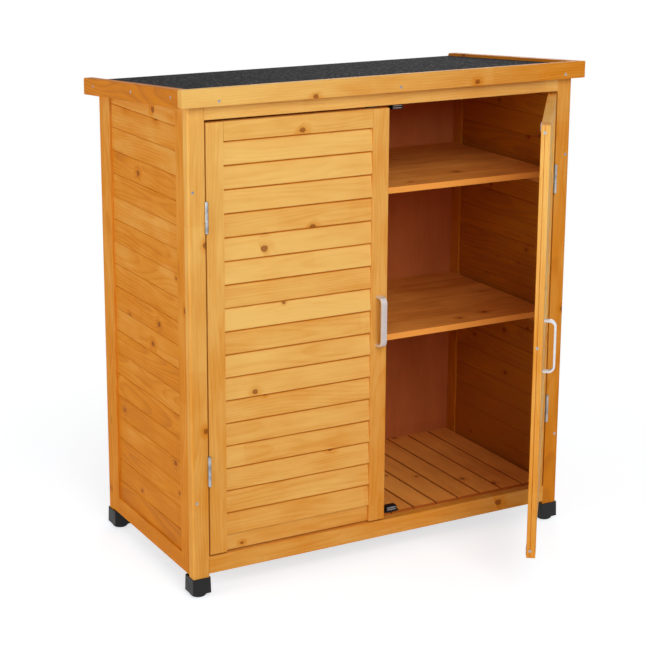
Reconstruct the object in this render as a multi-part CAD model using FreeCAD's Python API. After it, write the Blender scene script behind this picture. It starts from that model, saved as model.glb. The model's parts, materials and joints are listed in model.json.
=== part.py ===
import FreeCAD, Part
import math
import os

os.makedirs("parts", exist_ok=True)

# Garden storage cabinet, in millimetres.
# X runs across the width, the doors face -Y, Z is up.
# The origin lies on the floor below the middle of the carcass.

# Overall sizes
overall_w = 870.0
overall_d = 465.0
overall_h = 965.0
roof_drop = 35.0
rear_overhang = 32.0

# Fascia boards round the roof
fascia_t = 18.0
fascia_h = 33.0
fascia_corner_r = 5.0
felt_sink = 6.0
felt_t = 2.5
roof_board_t = 9.0

# Front and rear frames: upright stiles that run down as legs, and rails between them
frame_t = 20.0
frame_stile_w = 33.0
frame_rail_h = 34.0
frame_rail_z = 45.0
top_rail_show = 26.0
corner_r = 4.0
ease = 1.0

# Side panels: stiles and a bottom rail with tongued boards let into their grooves
panel_t = 18.0
panel_stile_w = 33.0
panel_rail_h = 34.0
panel_z = 42.0
side_board_t = 9.0
side_board_pitch = 45.5
side_board_inset = 5.0
groove_depth = 6.0
vee = 1.4
tongue_t = 3.0
tongue_len = 3.5
fit_gap = 0.2

# Back, floor and shelves
back_panel_t = 4.0
floor_board_t = 9.0
floor_board_count = 15
floor_board_gap = 0.8
floor_end_bevel = 2.5
bearer_w = 18.0
bearer_h = 25.0
floor_stand = 4.0
shelf_t = 12.0
shelf_board_count = 6
lower_shelf_above_floor = 369.0
upper_shelf_below_top = 163.0
shelf_set_back = 25.0
shelf_side_gap = 1.0
shelf_groove = 0.4
cleat_w = 15.0
cleat_h = 18.0

# Doors
door_t = 17.0
door_side_gap = 2.5
door_centre_gap = 5.0
door_bottom_gap = 3.0
door_top_gap = 5.0
door_stile_w = 35.0
door_top_rail_h = 35.0
door_bottom_rail_h = 33.0
edge_groove_w = 1.6
edge_groove_depth = 1.8
edge_groove_back = 7.0
right_door_open_deg = 52.0

# Louvre slats, each tipped so that its lower edge stands over the next one down
slat_count = 17
slat_t = 5.5
slat_lap = 8.0
slat_sink = 1.2
slat_edge_r = 2.5
slat_housing = 5.0
slat_fit = 0.15

# Butt hinges
hinge_len = 58.0
hinge_leaf_t = 1.0
hinge_leaf_w = 14.0
hinge_knuckle_r = 3.2
hinge_pin_r = 1.5
hinge_pin_gap = 0.05
hinge_knuckle_gap = 0.3
hinge_stand_gap = 0.2
lower_hinge_from_door_end = 168.0
upper_hinge_from_door_end = 170.0

# Bow handles
handle_len = 100.0
handle_w = 12.0
handle_t = 4.0
handle_reach = 23.0
handle_outer_r = 9.0
handle_centre_from_edge = 19.0

# Magnetic catches and the plates that they hold
catch_x = 26.5
catch_w = 24.0
catch_d = 14.0
catch_h = 12.5
catch_ear_w = 38.0
catch_ear_t = 2.0
catch_ear_inset = 2.0
catch_screw_spread = 29.0
catch_gap = 0.5
pole_w = 20.0
pole_t = 0.8
pole_h = 1.6
pole_offsets = (5.0, 9.0)
strike_w = 30.0
strike_h = 12.0
strike_t = 1.2
strike_end_gap = 1.5

# Foot caps and levelling glides
cap_wall = 2.0
cap_depth = 37.0
cap_h = 31.0
cap_floor = 14.0
cap_flare = 0.8
glide_r = 16.0
glide_h = 8.0
glide_base_r = 13.0
glide_bevel_h = 3.0
glide_stem_r = 4.0
glide_stem_len = 13.0
glide_stem_gap = 0.08
glide_gap = 0.3

# Countersunk screws, faceted because there are many
screw_sides = 8
screw_head_r = 3.0
screw_head_h = 1.8
screw_shank_r = 1.5
screw_len = 35.0
rail_screw_len = 50.0
edge_screw_len = 28.0
catch_screw_len = 8.0
screw_gap = 0.05
lower_frame_screw_above_door_end = 108.0
upper_frame_screw_below_door_end = 123.0
frame_screw_from_edge = 9.0
fascia_screw_x = (-363.0, 11.0, 388.0)
fascia_screw_y = (30.0, 210.0, 398.0)
fascia_front_screw_up = 9.0
fascia_side_screw_down = 15.0
door_edge_screw_from_end = 14.0

# Places worked out from the sizes
carcass_w = overall_w - 2 * fascia_t
carcass_d = overall_d - fascia_t - rear_overhang
half_w = carcass_w / 2
y_front = -carcass_d / 2
y_rear = carcass_d / 2
y_roof_rear = y_rear + rear_overhang
inner_x = half_w - panel_t
stile_inner_x = half_w - frame_stile_w
y_side_front = y_front + frame_t
y_side_rear = y_rear - frame_t
y_back_panel = y_side_rear - back_panel_t
cap_z = glide_h
leg_z = cap_z + cap_floor
opening_top_z = overall_h - fascia_h - top_rail_show
opening_bottom_z = frame_rail_z + frame_rail_h
floor_z = opening_bottom_z + floor_stand
bearer_top_z = floor_z - floor_board_t
door_z0 = opening_bottom_z + door_bottom_gap
door_z1 = opening_top_z - door_top_gap
door_mid_z = (door_z0 + door_z1) / 2
door_outer_x = stile_inner_x - door_side_gap
door_free_x = door_centre_gap / 2
hinge_axis_x = stile_inner_x - door_side_gap / 2
hinge_axis_y = y_front - hinge_knuckle_r - hinge_stand_gap
hinge_centre_z = (door_z0 + lower_hinge_from_door_end, door_z1 - upper_hinge_from_door_end)
frame_screw_z = (door_z0 + lower_frame_screw_above_door_end, door_z1 - upper_frame_screw_below_door_end)
shelf_top_z = (floor_z + lower_shelf_above_floor, opening_top_z - upper_shelf_below_top)
slat_zone_z0 = door_z0 + door_bottom_rail_h
slat_zone_z1 = door_z1 - door_top_rail_h
slat_pitch = (slat_zone_z1 - slat_zone_z0) / slat_count


# Basic solids

def vec(x, y, z):
    return FreeCAD.Vector(x, y, z)


def box(x0, x1, y0, y1, z0, z1):
    return Part.makeBox(x1 - x0, y1 - y0, z1 - z0, vec(x0, y0, z0))


def prism(points, travel):
    wire = Part.makePolygon(points + [points[0]])
    return Part.Face(wire).extrude(travel)


def prism_x(outline_yz, x0, x1):
    return prism([vec(x0, y, z) for y, z in outline_yz], vec(x1 - x0, 0, 0))


def prism_y(outline_xz, y0, y1):
    return prism([vec(x, y0, z) for x, z in outline_xz], vec(0, y1 - y0, 0))


def prism_z(outline_xy, z0, z1):
    return prism([vec(x, y, z0) for x, y in outline_xy], vec(0, 0, z1 - z0))


def flat_sided(rings):
    # Flat faces from each ring of points to the next, closed at both ends
    outlines = [rings[0][::-1], rings[-1]]
    for low, high in zip(rings, rings[1:]):
        outlines += [[low[i - 1], low[i], high[i], high[i - 1]] for i in range(len(low))]
    faces = [Part.Face(Part.makePolygon(outline + [outline[0]])) for outline in outlines]
    return Part.Solid(Part.Shell(faces))


def cylinder(radius, base, direction, length):
    return Part.makeCylinder(radius, length, base, direction)


def group(solids):
    return Part.makeCompound(solids)


def mirrored(shape):
    return shape.mirror(vec(0, 0, 0), vec(1, 0, 0))


def on_side(shape, side):
    # Shapes are drawn on the +X side, side is -1 or 1
    return shape if side > 0 else mirrored(shape)


def turned(shape, x, y, angle):
    copy = shape.copy()
    copy.rotate(vec(x, y, 0), vec(0, 0, 1), angle)
    return copy


def straight_edges(shape, direction, wanted):
    # Straight edges that run along a direction and whose middle passes the test
    found = []
    for edge in shape.Edges:
        if len(edge.Vertexes) < 2:
            continue
        span = edge.Vertexes[1].Point - edge.Vertexes[0].Point
        if span.Length < 1e-6 or span.cross(direction).Length > 1e-4 * span.Length:
            continue
        if wanted(edge.CenterOfMass):
            found.append(edge)
    return found


def rounded(shape, radius, direction, wanted):
    return shape.makeFillet(radius, straight_edges(shape, direction, wanted))


def bevelled(shape, size, direction, wanted):
    return shape.makeChamfer(size, straight_edges(shape, direction, wanted))


ALONG_X = vec(1, 0, 0)
ALONG_Y = vec(0, 1, 0)
ALONG_Z = vec(0, 0, 1)

# How far a cutting shape goes past the face that it opens
past = 1.0


def near(a, b):
    return abs(a - b) < 1e-3


# Heights of the sloping roof

def fascia_top_z(y):
    return overall_h - roof_drop * (y - (y_front - fascia_t)) / overall_d


def felt_top_z(y):
    return fascia_top_z(y) - felt_sink


def roof_under_z(y):
    return felt_top_z(y) - felt_t - roof_board_t


# Screws: a cone-shaped head on a straight shank, also the shape of the seat that it needs

def screw(tip_side, spot, length=screw_len, gap=0.0):
    # spot is the middle of the flush head, tip_side is the direction of the shank
    sideways = ALONG_X if abs(tip_side.x) < 0.5 else ALONG_Z
    across = tip_side.cross(sideways)

    def ring(radius, depth):
        points = []
        for i in range(screw_sides):
            angle = 2 * math.pi * i / screw_sides
            outward = sideways * math.cos(angle) + across * math.sin(angle)
            points.append(spot + tip_side * depth + outward * radius)
        return points

    rings = [ring(screw_head_r + gap, 0.0), ring(screw_shank_r + gap, screw_head_h)]
    return flat_sided(rings + [ring(screw_shank_r + gap, length + gap)])


def screw_seats(shape, tip_side, spots, length=screw_len):
    for spot in spots:
        shape = shape.cut(screw(tip_side, spot, length, screw_gap))
    return shape


# Front and rear frames

def frame_stile(side, y0, y1, y_outer):
    outline = [(y0, leg_z), (y1, leg_z), (y1, roof_under_z(y1)), (y0, roof_under_z(y0))]
    stile = prism_x(outline, stile_inner_x, half_w)
    stile = rounded(stile, corner_r, ALONG_Z, lambda c: near(c.x, half_w) and near(c.y, y_outer))
    stile = rounded(stile, ease, ALONG_Z, lambda c: near(c.x, stile_inner_x) and near(c.y, y_outer))
    return on_side(stile, side)


def frame_screw_spots(side):
    x = side * (half_w - frame_screw_from_edge)
    return [vec(x, y_front, z) for z in frame_screw_z]


def front_stile(side):
    stile = frame_stile(side, y_front, y_side_front, y_front)
    stile = screw_seats(stile, ALONG_Y, frame_screw_spots(side))
    return screw_seats(stile, ALONG_Y, fascia_front_screw_spots())


def rear_stile(side):
    return frame_stile(side, y_side_rear, y_rear, y_rear)


def front_top_rail():
    y0, y1 = y_front, y_side_front
    outline = [(y0, opening_top_z), (y1, opening_top_z), (y1, roof_under_z(y1)), (y0, roof_under_z(y0))]
    rail = prism_x(outline, -stile_inner_x, stile_inner_x)
    rail = rounded(rail, ease, ALONG_X, lambda c: near(c.y, y0) and near(c.z, opening_top_z))
    return screw_seats(rail, ALONG_Y, fascia_front_screw_spots())


def rear_top_rail():
    top = roof_under_z(y_rear)
    z0 = top - frame_rail_h
    outline = [(y_side_rear, z0), (y_rear, z0), (y_rear, top), (y_side_rear, roof_under_z(y_side_rear))]
    rail = prism_x(outline, -stile_inner_x, stile_inner_x)
    return rounded(rail, ease, ALONG_X, lambda c: near(c.y, y_rear) and near(c.z, z0))


def frame_bottom_rail(y0, y1, y_outer):
    rail = box(-stile_inner_x, stile_inner_x, y0, y1, frame_rail_z, opening_bottom_z)
    return rounded(rail, ease, ALONG_X, lambda c: near(c.y, y_outer))


# Side panels

def side_board_x():
    outer = half_w - side_board_inset
    return outer - side_board_t, outer


def side_groove_box(y0, y1, z0, z1):
    inner, outer = side_board_x()
    return box(inner - fit_gap, outer + fit_gap, y0, y1, z0, z1)


def side_stile(y0, y1, y_groove_0, y_groove_1):
    outline = [(y0, panel_z), (y1, panel_z), (y1, roof_under_z(y1)), (y0, roof_under_z(y0))]
    stile = prism_x(outline, inner_x, half_w)
    groove = side_groove_box(y_groove_0, y_groove_1, panel_z + panel_rail_h - groove_depth, overall_h)
    return stile.cut(groove)


def side_stiles(side):
    front_inner = y_side_front + panel_stile_w
    rear_inner = y_side_rear - panel_stile_w
    front = side_stile(y_side_front, front_inner, front_inner - groove_depth, front_inner)
    rear = side_stile(rear_inner, y_side_rear, rear_inner, rear_inner + groove_depth)
    front = rounded(front, ease, ALONG_Z, lambda c: near(c.y, front_inner) and near(c.x, half_w))
    rear = rounded(rear, ease, ALONG_Z, lambda c: near(c.y, rear_inner) and near(c.x, half_w))
    seats = [screw(ALONG_Y, spot, gap=screw_gap) for spot in frame_screw_spots(1)]
    return on_side(group([front.cut(seats), rear]), side)


def side_bottom_rail(side):
    y0 = y_side_front + panel_stile_w
    y1 = y_side_rear - panel_stile_w
    top = panel_z + panel_rail_h
    rail = box(inner_x, half_w, y0, y1, panel_z, top)
    rail = rail.cut(side_groove_box(y0, y1, top - groove_depth, top))
    rail = rounded(rail, ease, ALONG_Y, lambda c: near(c.x, half_w))
    return on_side(rail, side)


def board_outline(inner, outer, z0, z1, grooved):
    # Section of one tongued board: a vee at each long edge, a tongue on top, a groove below
    mid = (inner + outer) / 2
    half_tongue = tongue_t / 2
    half_groove = half_tongue + fit_gap
    groove_top = z0 + tongue_len + fit_gap
    points = [(outer, z0 + vee), (outer, z1 - vee), (outer - vee, z1)]
    points += [(mid + half_tongue, z1), (mid + half_tongue, z1 + tongue_len)]
    points += [(mid - half_tongue, z1 + tongue_len), (mid - half_tongue, z1)]
    points += [(inner + vee, z1), (inner, z1 - vee), (inner, z0 + vee), (inner + vee, z0)]
    if grooved:
        points += [(mid - half_groove, z0), (mid - half_groove, groove_top)]
        points += [(mid + half_groove, groove_top), (mid + half_groove, z0)]
    points += [(outer - vee, z0)]
    return points


def side_boards(side):
    y0 = y_side_front + panel_stile_w - groove_depth + fit_gap
    y1 = y_side_rear - panel_stile_w + groove_depth - fit_gap
    inner, outer = side_board_x()
    below_roof = prism_x(
        [(y0, panel_z), (y1, panel_z), (y1, roof_under_z(y1)), (y0, roof_under_z(y0))],
        inner - past, outer + past)
    z = panel_z + panel_rail_h - groove_depth + fit_gap
    boards = []
    while z + vee < roof_under_z(y0):
        outline = board_outline(inner, outer, z, z + side_board_pitch, bool(boards))
        board = prism_y(outline, y0, y1)
        if z + side_board_pitch + tongue_len > roof_under_z(y1):
            board = board.common(below_roof)
        boards.append(board)
        z += side_board_pitch
    return on_side(group(boards), side)


# Back, floor and shelves

def back_panel():
    y0, y1 = y_back_panel, y_side_rear
    outline = [(y0, frame_rail_z), (y1, frame_rail_z), (y1, roof_under_z(y1)), (y0, roof_under_z(y0))]
    return prism_x(outline, -inner_x + fit_gap, inner_x - fit_gap)


def floor_boards():
    x0 = -inner_x + fit_gap
    pitch = 2 * -x0 / floor_board_count
    y0 = y_side_front + fit_gap
    y1 = y_back_panel - fit_gap
    boards = []
    for i in range(floor_board_count):
        left = x0 + i * pitch + floor_board_gap / 2
        right = x0 + (i + 1) * pitch - floor_board_gap / 2
        outline = [(left, bearer_top_z), (right, bearer_top_z), (right, floor_z - vee)]
        outline += [(right - vee, floor_z), (left + vee, floor_z), (left, floor_z - vee)]
        board = prism_y(outline, y0, y1)
        front_top = lambda c: near(c.y, y0) and near(c.z, floor_z)
        boards.append(bevelled(board, floor_end_bevel, ALONG_X, front_top))
    return catch_screw_holes(group(boards), 1)


def floor_bearers():
    z0 = bearer_top_z - bearer_h
    x = inner_x - fit_gap
    front = box(-x, x, y_side_front, y_side_front + bearer_w, z0, bearer_top_z)
    rear = box(-x, x, y_back_panel - bearer_w, y_back_panel, z0, bearer_top_z)
    return group([front, rear])


def shelf(top_z):
    x = inner_x - shelf_side_gap
    y0 = y_front + shelf_set_back
    y1 = y_back_panel - shelf_side_gap
    pitch = (y1 - y0) / shelf_board_count
    boards = []
    for i in range(shelf_board_count):
        near_y = y0 + i * pitch
        board = box(-x, x, near_y, near_y + pitch - shelf_groove, top_z - shelf_t, top_z)
        boards.append(board if i else rounded(board, ease, ALONG_X, lambda c: near(c.y, y0)))
    return group(boards)


def shelf_cleats():
    cleats = []
    y0 = y_front + shelf_set_back + cleat_w
    for top_z in shelf_top_z:
        z1 = top_z - shelf_t
        cleat = box(inner_x - cleat_w, inner_x, y0, y_back_panel - fit_gap, z1 - cleat_h, z1)
        cleats += [cleat, mirrored(cleat)]
    return group(cleats)


# Roof

def sloping_board(y0, y1, top, thickness, x0, x1):
    outline = [(y0, top(y0) - thickness), (y1, top(y1) - thickness), (y1, top(y1)), (y0, top(y0))]
    return prism_x(outline, x0, x1)


def roof_board():
    top = lambda y: felt_top_z(y) - felt_t
    board = sloping_board(y_front, y_roof_rear, top, roof_board_t, -half_w, half_w)
    for side in (-1, 1):
        board = screw_seats(board, vec(-side, 0, 0), fascia_side_screw_spots(side))
    return board


def roof_felt():
    return sloping_board(y_front, y_roof_rear, felt_top_z, felt_t, -half_w, half_w)


def fascia_front():
    y0, y1 = y_front - fascia_t, y_front
    z0 = overall_h - fascia_h
    outline = [(y0, z0), (y1, z0), (y1, fascia_top_z(y1)), (y0, overall_h)]
    board = prism_x(outline, -overall_w / 2, overall_w / 2)
    board = rounded(board, ease, ALONG_X, lambda c: near(c.y, y0))
    return screw_seats(board, ALONG_Y, fascia_front_screw_spots())


def fascia_side(side):
    board = sloping_board(y_front, y_roof_rear, fascia_top_z, fascia_h, half_w, half_w + fascia_t)
    top_rear = lambda c: near(c.y, y_roof_rear) and near(c.z, fascia_top_z(y_roof_rear))
    board = rounded(board, fascia_corner_r, ALONG_X, top_rear)
    board = on_side(board, side)
    return screw_seats(board, vec(-side, 0, 0), fascia_side_screw_spots(side))


def fascia_front_screw_spots():
    z = overall_h - fascia_h + fascia_front_screw_up
    return [vec(x, y_front - fascia_t, z) for x in fascia_screw_x]


def fascia_side_screw_spots(side):
    spots = []
    for back in fascia_screw_y:
        y = y_front + back
        spots.append(vec(side * overall_w / 2, y, fascia_top_z(y) - fascia_side_screw_down))
    return spots


def roof_batten_front():
    y0, y1 = y_side_front, y_side_front + bearer_w
    outline = [(y0, opening_top_z), (y1, opening_top_z), (y1, roof_under_z(y1)), (y0, roof_under_z(y0))]
    batten = prism_x(outline, -inner_x + fit_gap, inner_x - fit_gap)
    return catch_screw_holes(batten, -1)


# Screws of the carcass

def assembly_screws():
    # The fascias are screwed to the front frame and the roof board, the stiles to the side panels
    screws = [screw(ALONG_Y, spot) for spot in fascia_front_screw_spots()]
    for side in (-1, 1):
        screws += [screw(vec(-side, 0, 0), spot) for spot in fascia_side_screw_spots(side)]
        screws += [screw(ALONG_Y, spot) for spot in frame_screw_spots(side)]
    return group(screws)


# Feet

def foot_centre(side, end):
    # end is -1 at the front and 1 at the rear
    x = side * (half_w - frame_stile_w / 2)
    y = end * (carcass_d / 2 + cap_wall - cap_depth / 2)
    return x, y


def foot_cap(side, end):
    x, y = foot_centre(side, end)
    half_x = frame_stile_w / 2 + cap_wall
    half_y = cap_depth / 2

    def ring(grow, z):
        corners = [(-1, -1), (1, -1), (1, 1), (-1, 1)]
        return [vec(x + i * (half_x + grow), y + j * (half_y + grow), z) for i, j in corners]

    cap = flat_sided([ring(cap_flare, cap_z), ring(0.0, cap_z + cap_h)])
    leg_y = sorted([end * carcass_d / 2, end * (carcass_d / 2 - frame_t)])
    leg_x = sorted([side * stile_inner_x, side * half_w])
    socket = box(leg_x[0] - fit_gap, leg_x[1] + fit_gap, leg_y[0] - fit_gap, leg_y[1] + fit_gap,
                 leg_z, cap_z + cap_h + past)
    bore = cylinder(glide_stem_r + glide_stem_gap, vec(x, y, cap_z - past), ALONG_Z, cap_floor + past)
    return cap.cut(socket).cut(bore)


def levelling_glide(side, end):
    x, y = foot_centre(side, end)
    top = glide_h - glide_gap
    profile = [(0.0, 0.0), (glide_base_r, 0.0), (glide_r, glide_bevel_h), (glide_r, top)]
    tip = glide_h + glide_stem_len
    profile += [(glide_stem_r, top), (glide_stem_r, tip), (0.0, tip)]
    points = [vec(x + r, y, z) for r, z in profile]
    face = Part.Face(Part.makePolygon(points + [points[0]]))
    return face.revolve(vec(x, y, 0), ALONG_Z, 360)


# Magnetic catches

def catch_places():
    # Middle, mounting height and direction of each catch: up from the floor, down from the top
    places = []
    for side in (-1, 1):
        places.append((side * catch_x, floor_z, 1))
        places.append((side * catch_x, opening_top_z, -1))
    return places


def catch_front_y():
    return y_front + door_t + strike_t + catch_gap + pole_t


def catch_screw_spots(x, z, up):
    y = catch_front_y() + catch_d / 2
    return [vec(x + k * catch_screw_spread / 2, y, z + up * catch_ear_t) for k in (-1, 1)]


def catch_housing(x, z, up):
    y0 = catch_front_y()
    z0, z1 = sorted([z, z + up * catch_h])
    ear0, ear1 = sorted([z, z + up * catch_ear_t])
    body = box(x - catch_w / 2, x + catch_w / 2, y0, y0 + catch_d, z0, z1)
    body = bevelled(body, ease, ALONG_Y, lambda c: near(c.z, z + up * catch_h))
    ear_y0, ear_y1 = y0 + catch_ear_inset, y0 + catch_d - catch_ear_inset
    ears = box(x - catch_ear_w / 2, x + catch_ear_w / 2, ear_y0, ear_y1, ear0, ear1)
    housing = body.fuse(ears).removeSplitter()
    return screw_seats(housing, vec(0, 0, -up), catch_screw_spots(x, z, up), catch_screw_len)


def pole_plates(x, z, up):
    y1 = catch_front_y()
    plates = []
    for offset in pole_offsets:
        low, high = sorted([z + up * offset, z + up * (offset + pole_h)])
        plates.append(box(x - pole_w / 2, x + pole_w / 2, y1 - pole_t, y1, low, high))
    return plates


def catch_screws(x, z, up):
    return [screw(vec(0, 0, -up), spot, catch_screw_len) for spot in catch_screw_spots(x, z, up)]


def catch_screw_holes(shape, up):
    # The holes of the catches that stand up from a board or hang down from it
    for x, z, way in catch_places():
        if way == up:
            shape = screw_seats(shape, vec(0, 0, -up), catch_screw_spots(x, z, up), catch_screw_len)
    return shape


# Hinges. Each is drawn for the right-hand door, closed, about its own pin.

def knuckle_spans(z_mid):
    # Three knuckles: the frame leaf holds the outer two, the door leaf the middle one
    third = hinge_len / 3
    z0 = z_mid - hinge_len / 2
    spans = [(z0 + i * third, z0 + (i + 1) * third) for i in range(3)]
    return [spans[0], spans[2]], [(spans[1][0] + hinge_knuckle_gap, spans[1][1] - hinge_knuckle_gap)]


def hinge_leaf(z_mid, spans, plate_x0, plate_x1):
    z0, z1 = z_mid - hinge_len / 2, z_mid + hinge_len / 2
    plate_y0 = y_front + hinge_knuckle_gap
    leaf = box(plate_x0, plate_x1, plate_y0, y_front + hinge_leaf_w, z0, z1)
    pin_base = vec(hinge_axis_x, hinge_axis_y, 0)
    for low, high in spans:
        knuckle = cylinder(hinge_knuckle_r, pin_base + vec(0, 0, low), ALONG_Z, high - low)
        web = box(plate_x0, plate_x1, hinge_axis_y, plate_y0, low, high)
        leaf = leaf.fuse(knuckle).fuse(web)
    bore_base = pin_base + vec(0, 0, z0 - past)
    bore = cylinder(hinge_pin_r + hinge_pin_gap, bore_base, ALONG_Z, hinge_len + 2 * past)
    return leaf.removeSplitter().cut(bore)


def frame_leaf(z_mid):
    return hinge_leaf(z_mid, knuckle_spans(z_mid)[0], stile_inner_x - hinge_leaf_t, stile_inner_x)


def door_leaf(z_mid):
    return hinge_leaf(z_mid, knuckle_spans(z_mid)[1], door_outer_x, door_outer_x + hinge_leaf_t)


def hinge_pin(z_mid):
    z0 = z_mid - hinge_len / 2
    return cylinder(hinge_pin_r, vec(hinge_axis_x, hinge_axis_y, z0), ALONG_Z, hinge_len)


def both_sides(shapes):
    return group(shapes + [mirrored(shape) for shape in shapes])


# Doors. Each is drawn as the right-hand door, closed.

def slat_front_y(z, z0):
    # A slat's front leans back by its own thickness over one pitch
    return y_front + slat_sink + slat_t * (z - z0) / slat_pitch


def slat_outline(z0, grow=0.0):
    low, high = z0 - grow, z0 + slat_pitch + slat_lap + grow
    front_low, front_high = slat_front_y(low, z0) - grow, slat_front_y(high, z0) - grow
    through = slat_t + 2 * grow
    return [(front_low, low), (front_high, high), (front_high + through, high), (front_low + through, low)]


def slat_z(index):
    return slat_zone_z0 + index * slat_pitch


def slat(index):
    z0 = slat_z(index)
    x0 = door_free_x + door_stile_w - slat_housing + slat_fit
    x1 = door_outer_x - door_stile_w + slat_housing - slat_fit
    board = prism_x(slat_outline(z0), x0, x1)
    return rounded(board, slat_edge_r, ALONG_X, lambda c: near(c.y, slat_front_y(z0, z0)) and near(c.z, z0))


def slats():
    return group([slat(i) for i in range(slat_count)])


def slat_housings(x0, x1):
    # The slanted slots that hold the slats' ends
    return [prism_x(slat_outline(slat_z(i), slat_fit), x0, x1) for i in range(slat_count)]


def edge_groove(x_edge, inward):
    y_mid = y_front + door_t - edge_groove_back
    half = edge_groove_w / 2
    depth = inward * edge_groove_depth
    outline = [(x_edge, y_mid - half), (x_edge + depth, y_mid), (x_edge, y_mid + half)]
    return prism_z(outline, door_z0, door_z1)


def door_stile(x0, x1, x_edge, inward, slot_x0, slot_x1):
    stile = box(x0, x1, y_front, y_front + door_t, door_z0, door_z1)
    stile = rounded(stile, ease, ALONG_Z, lambda c: near(c.y, y_front))
    return stile.cut(edge_groove(x_edge, inward)).cut(slat_housings(slot_x0, slot_x1))


def door_hinge_stile():
    inner = door_outer_x - door_stile_w
    return door_stile(inner, door_outer_x, door_outer_x, -1, inner, inner + slat_housing)


def handle_screw_spots():
    x = door_free_x + handle_centre_from_edge
    return [vec(x, y_front + door_t, door_mid_z + k * (handle_len - handle_t) / 2) for k in (-1, 1)]


def door_edge_screws(gap=0.0):
    # Driven in from the free edge: the end ones reach the rails, the middle one stays in the stile
    y = y_front + door_t - edge_groove_back
    ends = [door_z0 + door_edge_screw_from_end, door_z1 - door_edge_screw_from_end]
    screws = [screw(ALONG_X, vec(door_free_x, y, z), rail_screw_len, gap) for z in ends]
    screws.append(screw(ALONG_X, vec(door_free_x, y, door_mid_z), edge_screw_len, gap))
    return screws


def door_lock_stile():
    inner = door_free_x + door_stile_w
    stile = door_stile(door_free_x, inner, door_free_x, 1, inner - slat_housing, inner)
    return screw_seats(stile.cut(door_edge_screws(screw_gap)), -ALONG_Y, handle_screw_spots(), door_t)


def door_rail_x():
    return door_free_x + door_stile_w, door_outer_x - door_stile_w


def door_top_rail():
    # Rebated at the back, where the topmost slat tucks up behind it
    x0, x1 = door_rail_x()
    z0, z_step = slat_zone_z1, slat_zone_z1 + slat_lap + slat_fit
    y0, y1 = y_front, y_front + door_t
    last = slat_z(slat_count - 1)
    outline = [(y0, z0), (slat_front_y(z0, last) - slat_fit, z0)]
    outline += [(slat_front_y(z_step, last) - slat_fit, z_step), (y1, z_step), (y1, door_z1), (y0, door_z1)]
    rail = prism_x(outline, x0, x1)
    rail = rounded(rail, ease, ALONG_X, lambda c: near(c.y, y0))
    return rail.cut(door_edge_screws(screw_gap))


def door_bottom_rail():
    # Its upper edge is sloped like a slat, and the lowest slat stands over it
    x0, x1 = door_rail_x()
    z_lap = slat_zone_z0 + slat_lap
    y0 = slat_front_y(slat_zone_z0, slat_zone_z0) + slat_t + slat_fit
    y1 = y_front + door_t
    y_lap = slat_front_y(z_lap, slat_zone_z0) + slat_t + slat_fit
    rail = prism_x([(y0, door_z0), (y1, door_z0), (y1, z_lap), (y_lap, z_lap), (y0, slat_zone_z0)], x0, x1)
    rail = rounded(rail, ease, ALONG_X, lambda c: near(c.y, y0) and near(c.z, door_z0))
    return rail.cut(door_edge_screws(screw_gap))


def bow_handle():
    x = door_free_x + handle_centre_from_edge
    x0, x1 = x - handle_w / 2, x + handle_w / 2
    z0, z1 = door_mid_z - handle_len / 2, door_mid_z + handle_len / 2
    y0 = y_front - handle_reach
    outer = box(x0, x1, y0, y_front, z0, z1)
    outer = rounded(outer, handle_outer_r, ALONG_X, lambda c: near(c.y, y0))
    hollow = box(x0, x1, y0 + handle_t, y_front, z0 + handle_t, z1 - handle_t)
    inner_r = handle_outer_r - handle_t
    hollow = rounded(hollow, inner_r, ALONG_X, lambda c: near(c.y, y0 + handle_t))
    return outer.cut(hollow)


def strike_plates():
    plates = []
    y0 = y_front + door_t
    x0, x1 = catch_x - strike_w / 2, catch_x + strike_w / 2
    for z0 in (door_z0 + strike_end_gap, door_z1 - strike_end_gap - strike_h):
        plates.append(box(x0, x1, y0, y0 + strike_t, z0, z0 + strike_h))
    return group(plates)


def door_screws():
    return group(door_edge_screws() + [screw(-ALONG_Y, spot, door_t) for spot in handle_screw_spots()])


def door_pieces():
    return {
        "door_hinge_stile": door_hinge_stile(),
        "door_lock_stile": door_lock_stile(),
        "door_top_rail": door_top_rail(),
        "door_bottom_rail": door_bottom_rail(),
        "door_slats": slats(),
        "door_handle": bow_handle(),
        "door_strike_plates": strike_plates(),
        "door_hinge_leaves": group([door_leaf(z) for z in hinge_centre_z]),
        "door_screws": door_screws(),
    }


# Every node by name

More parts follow.
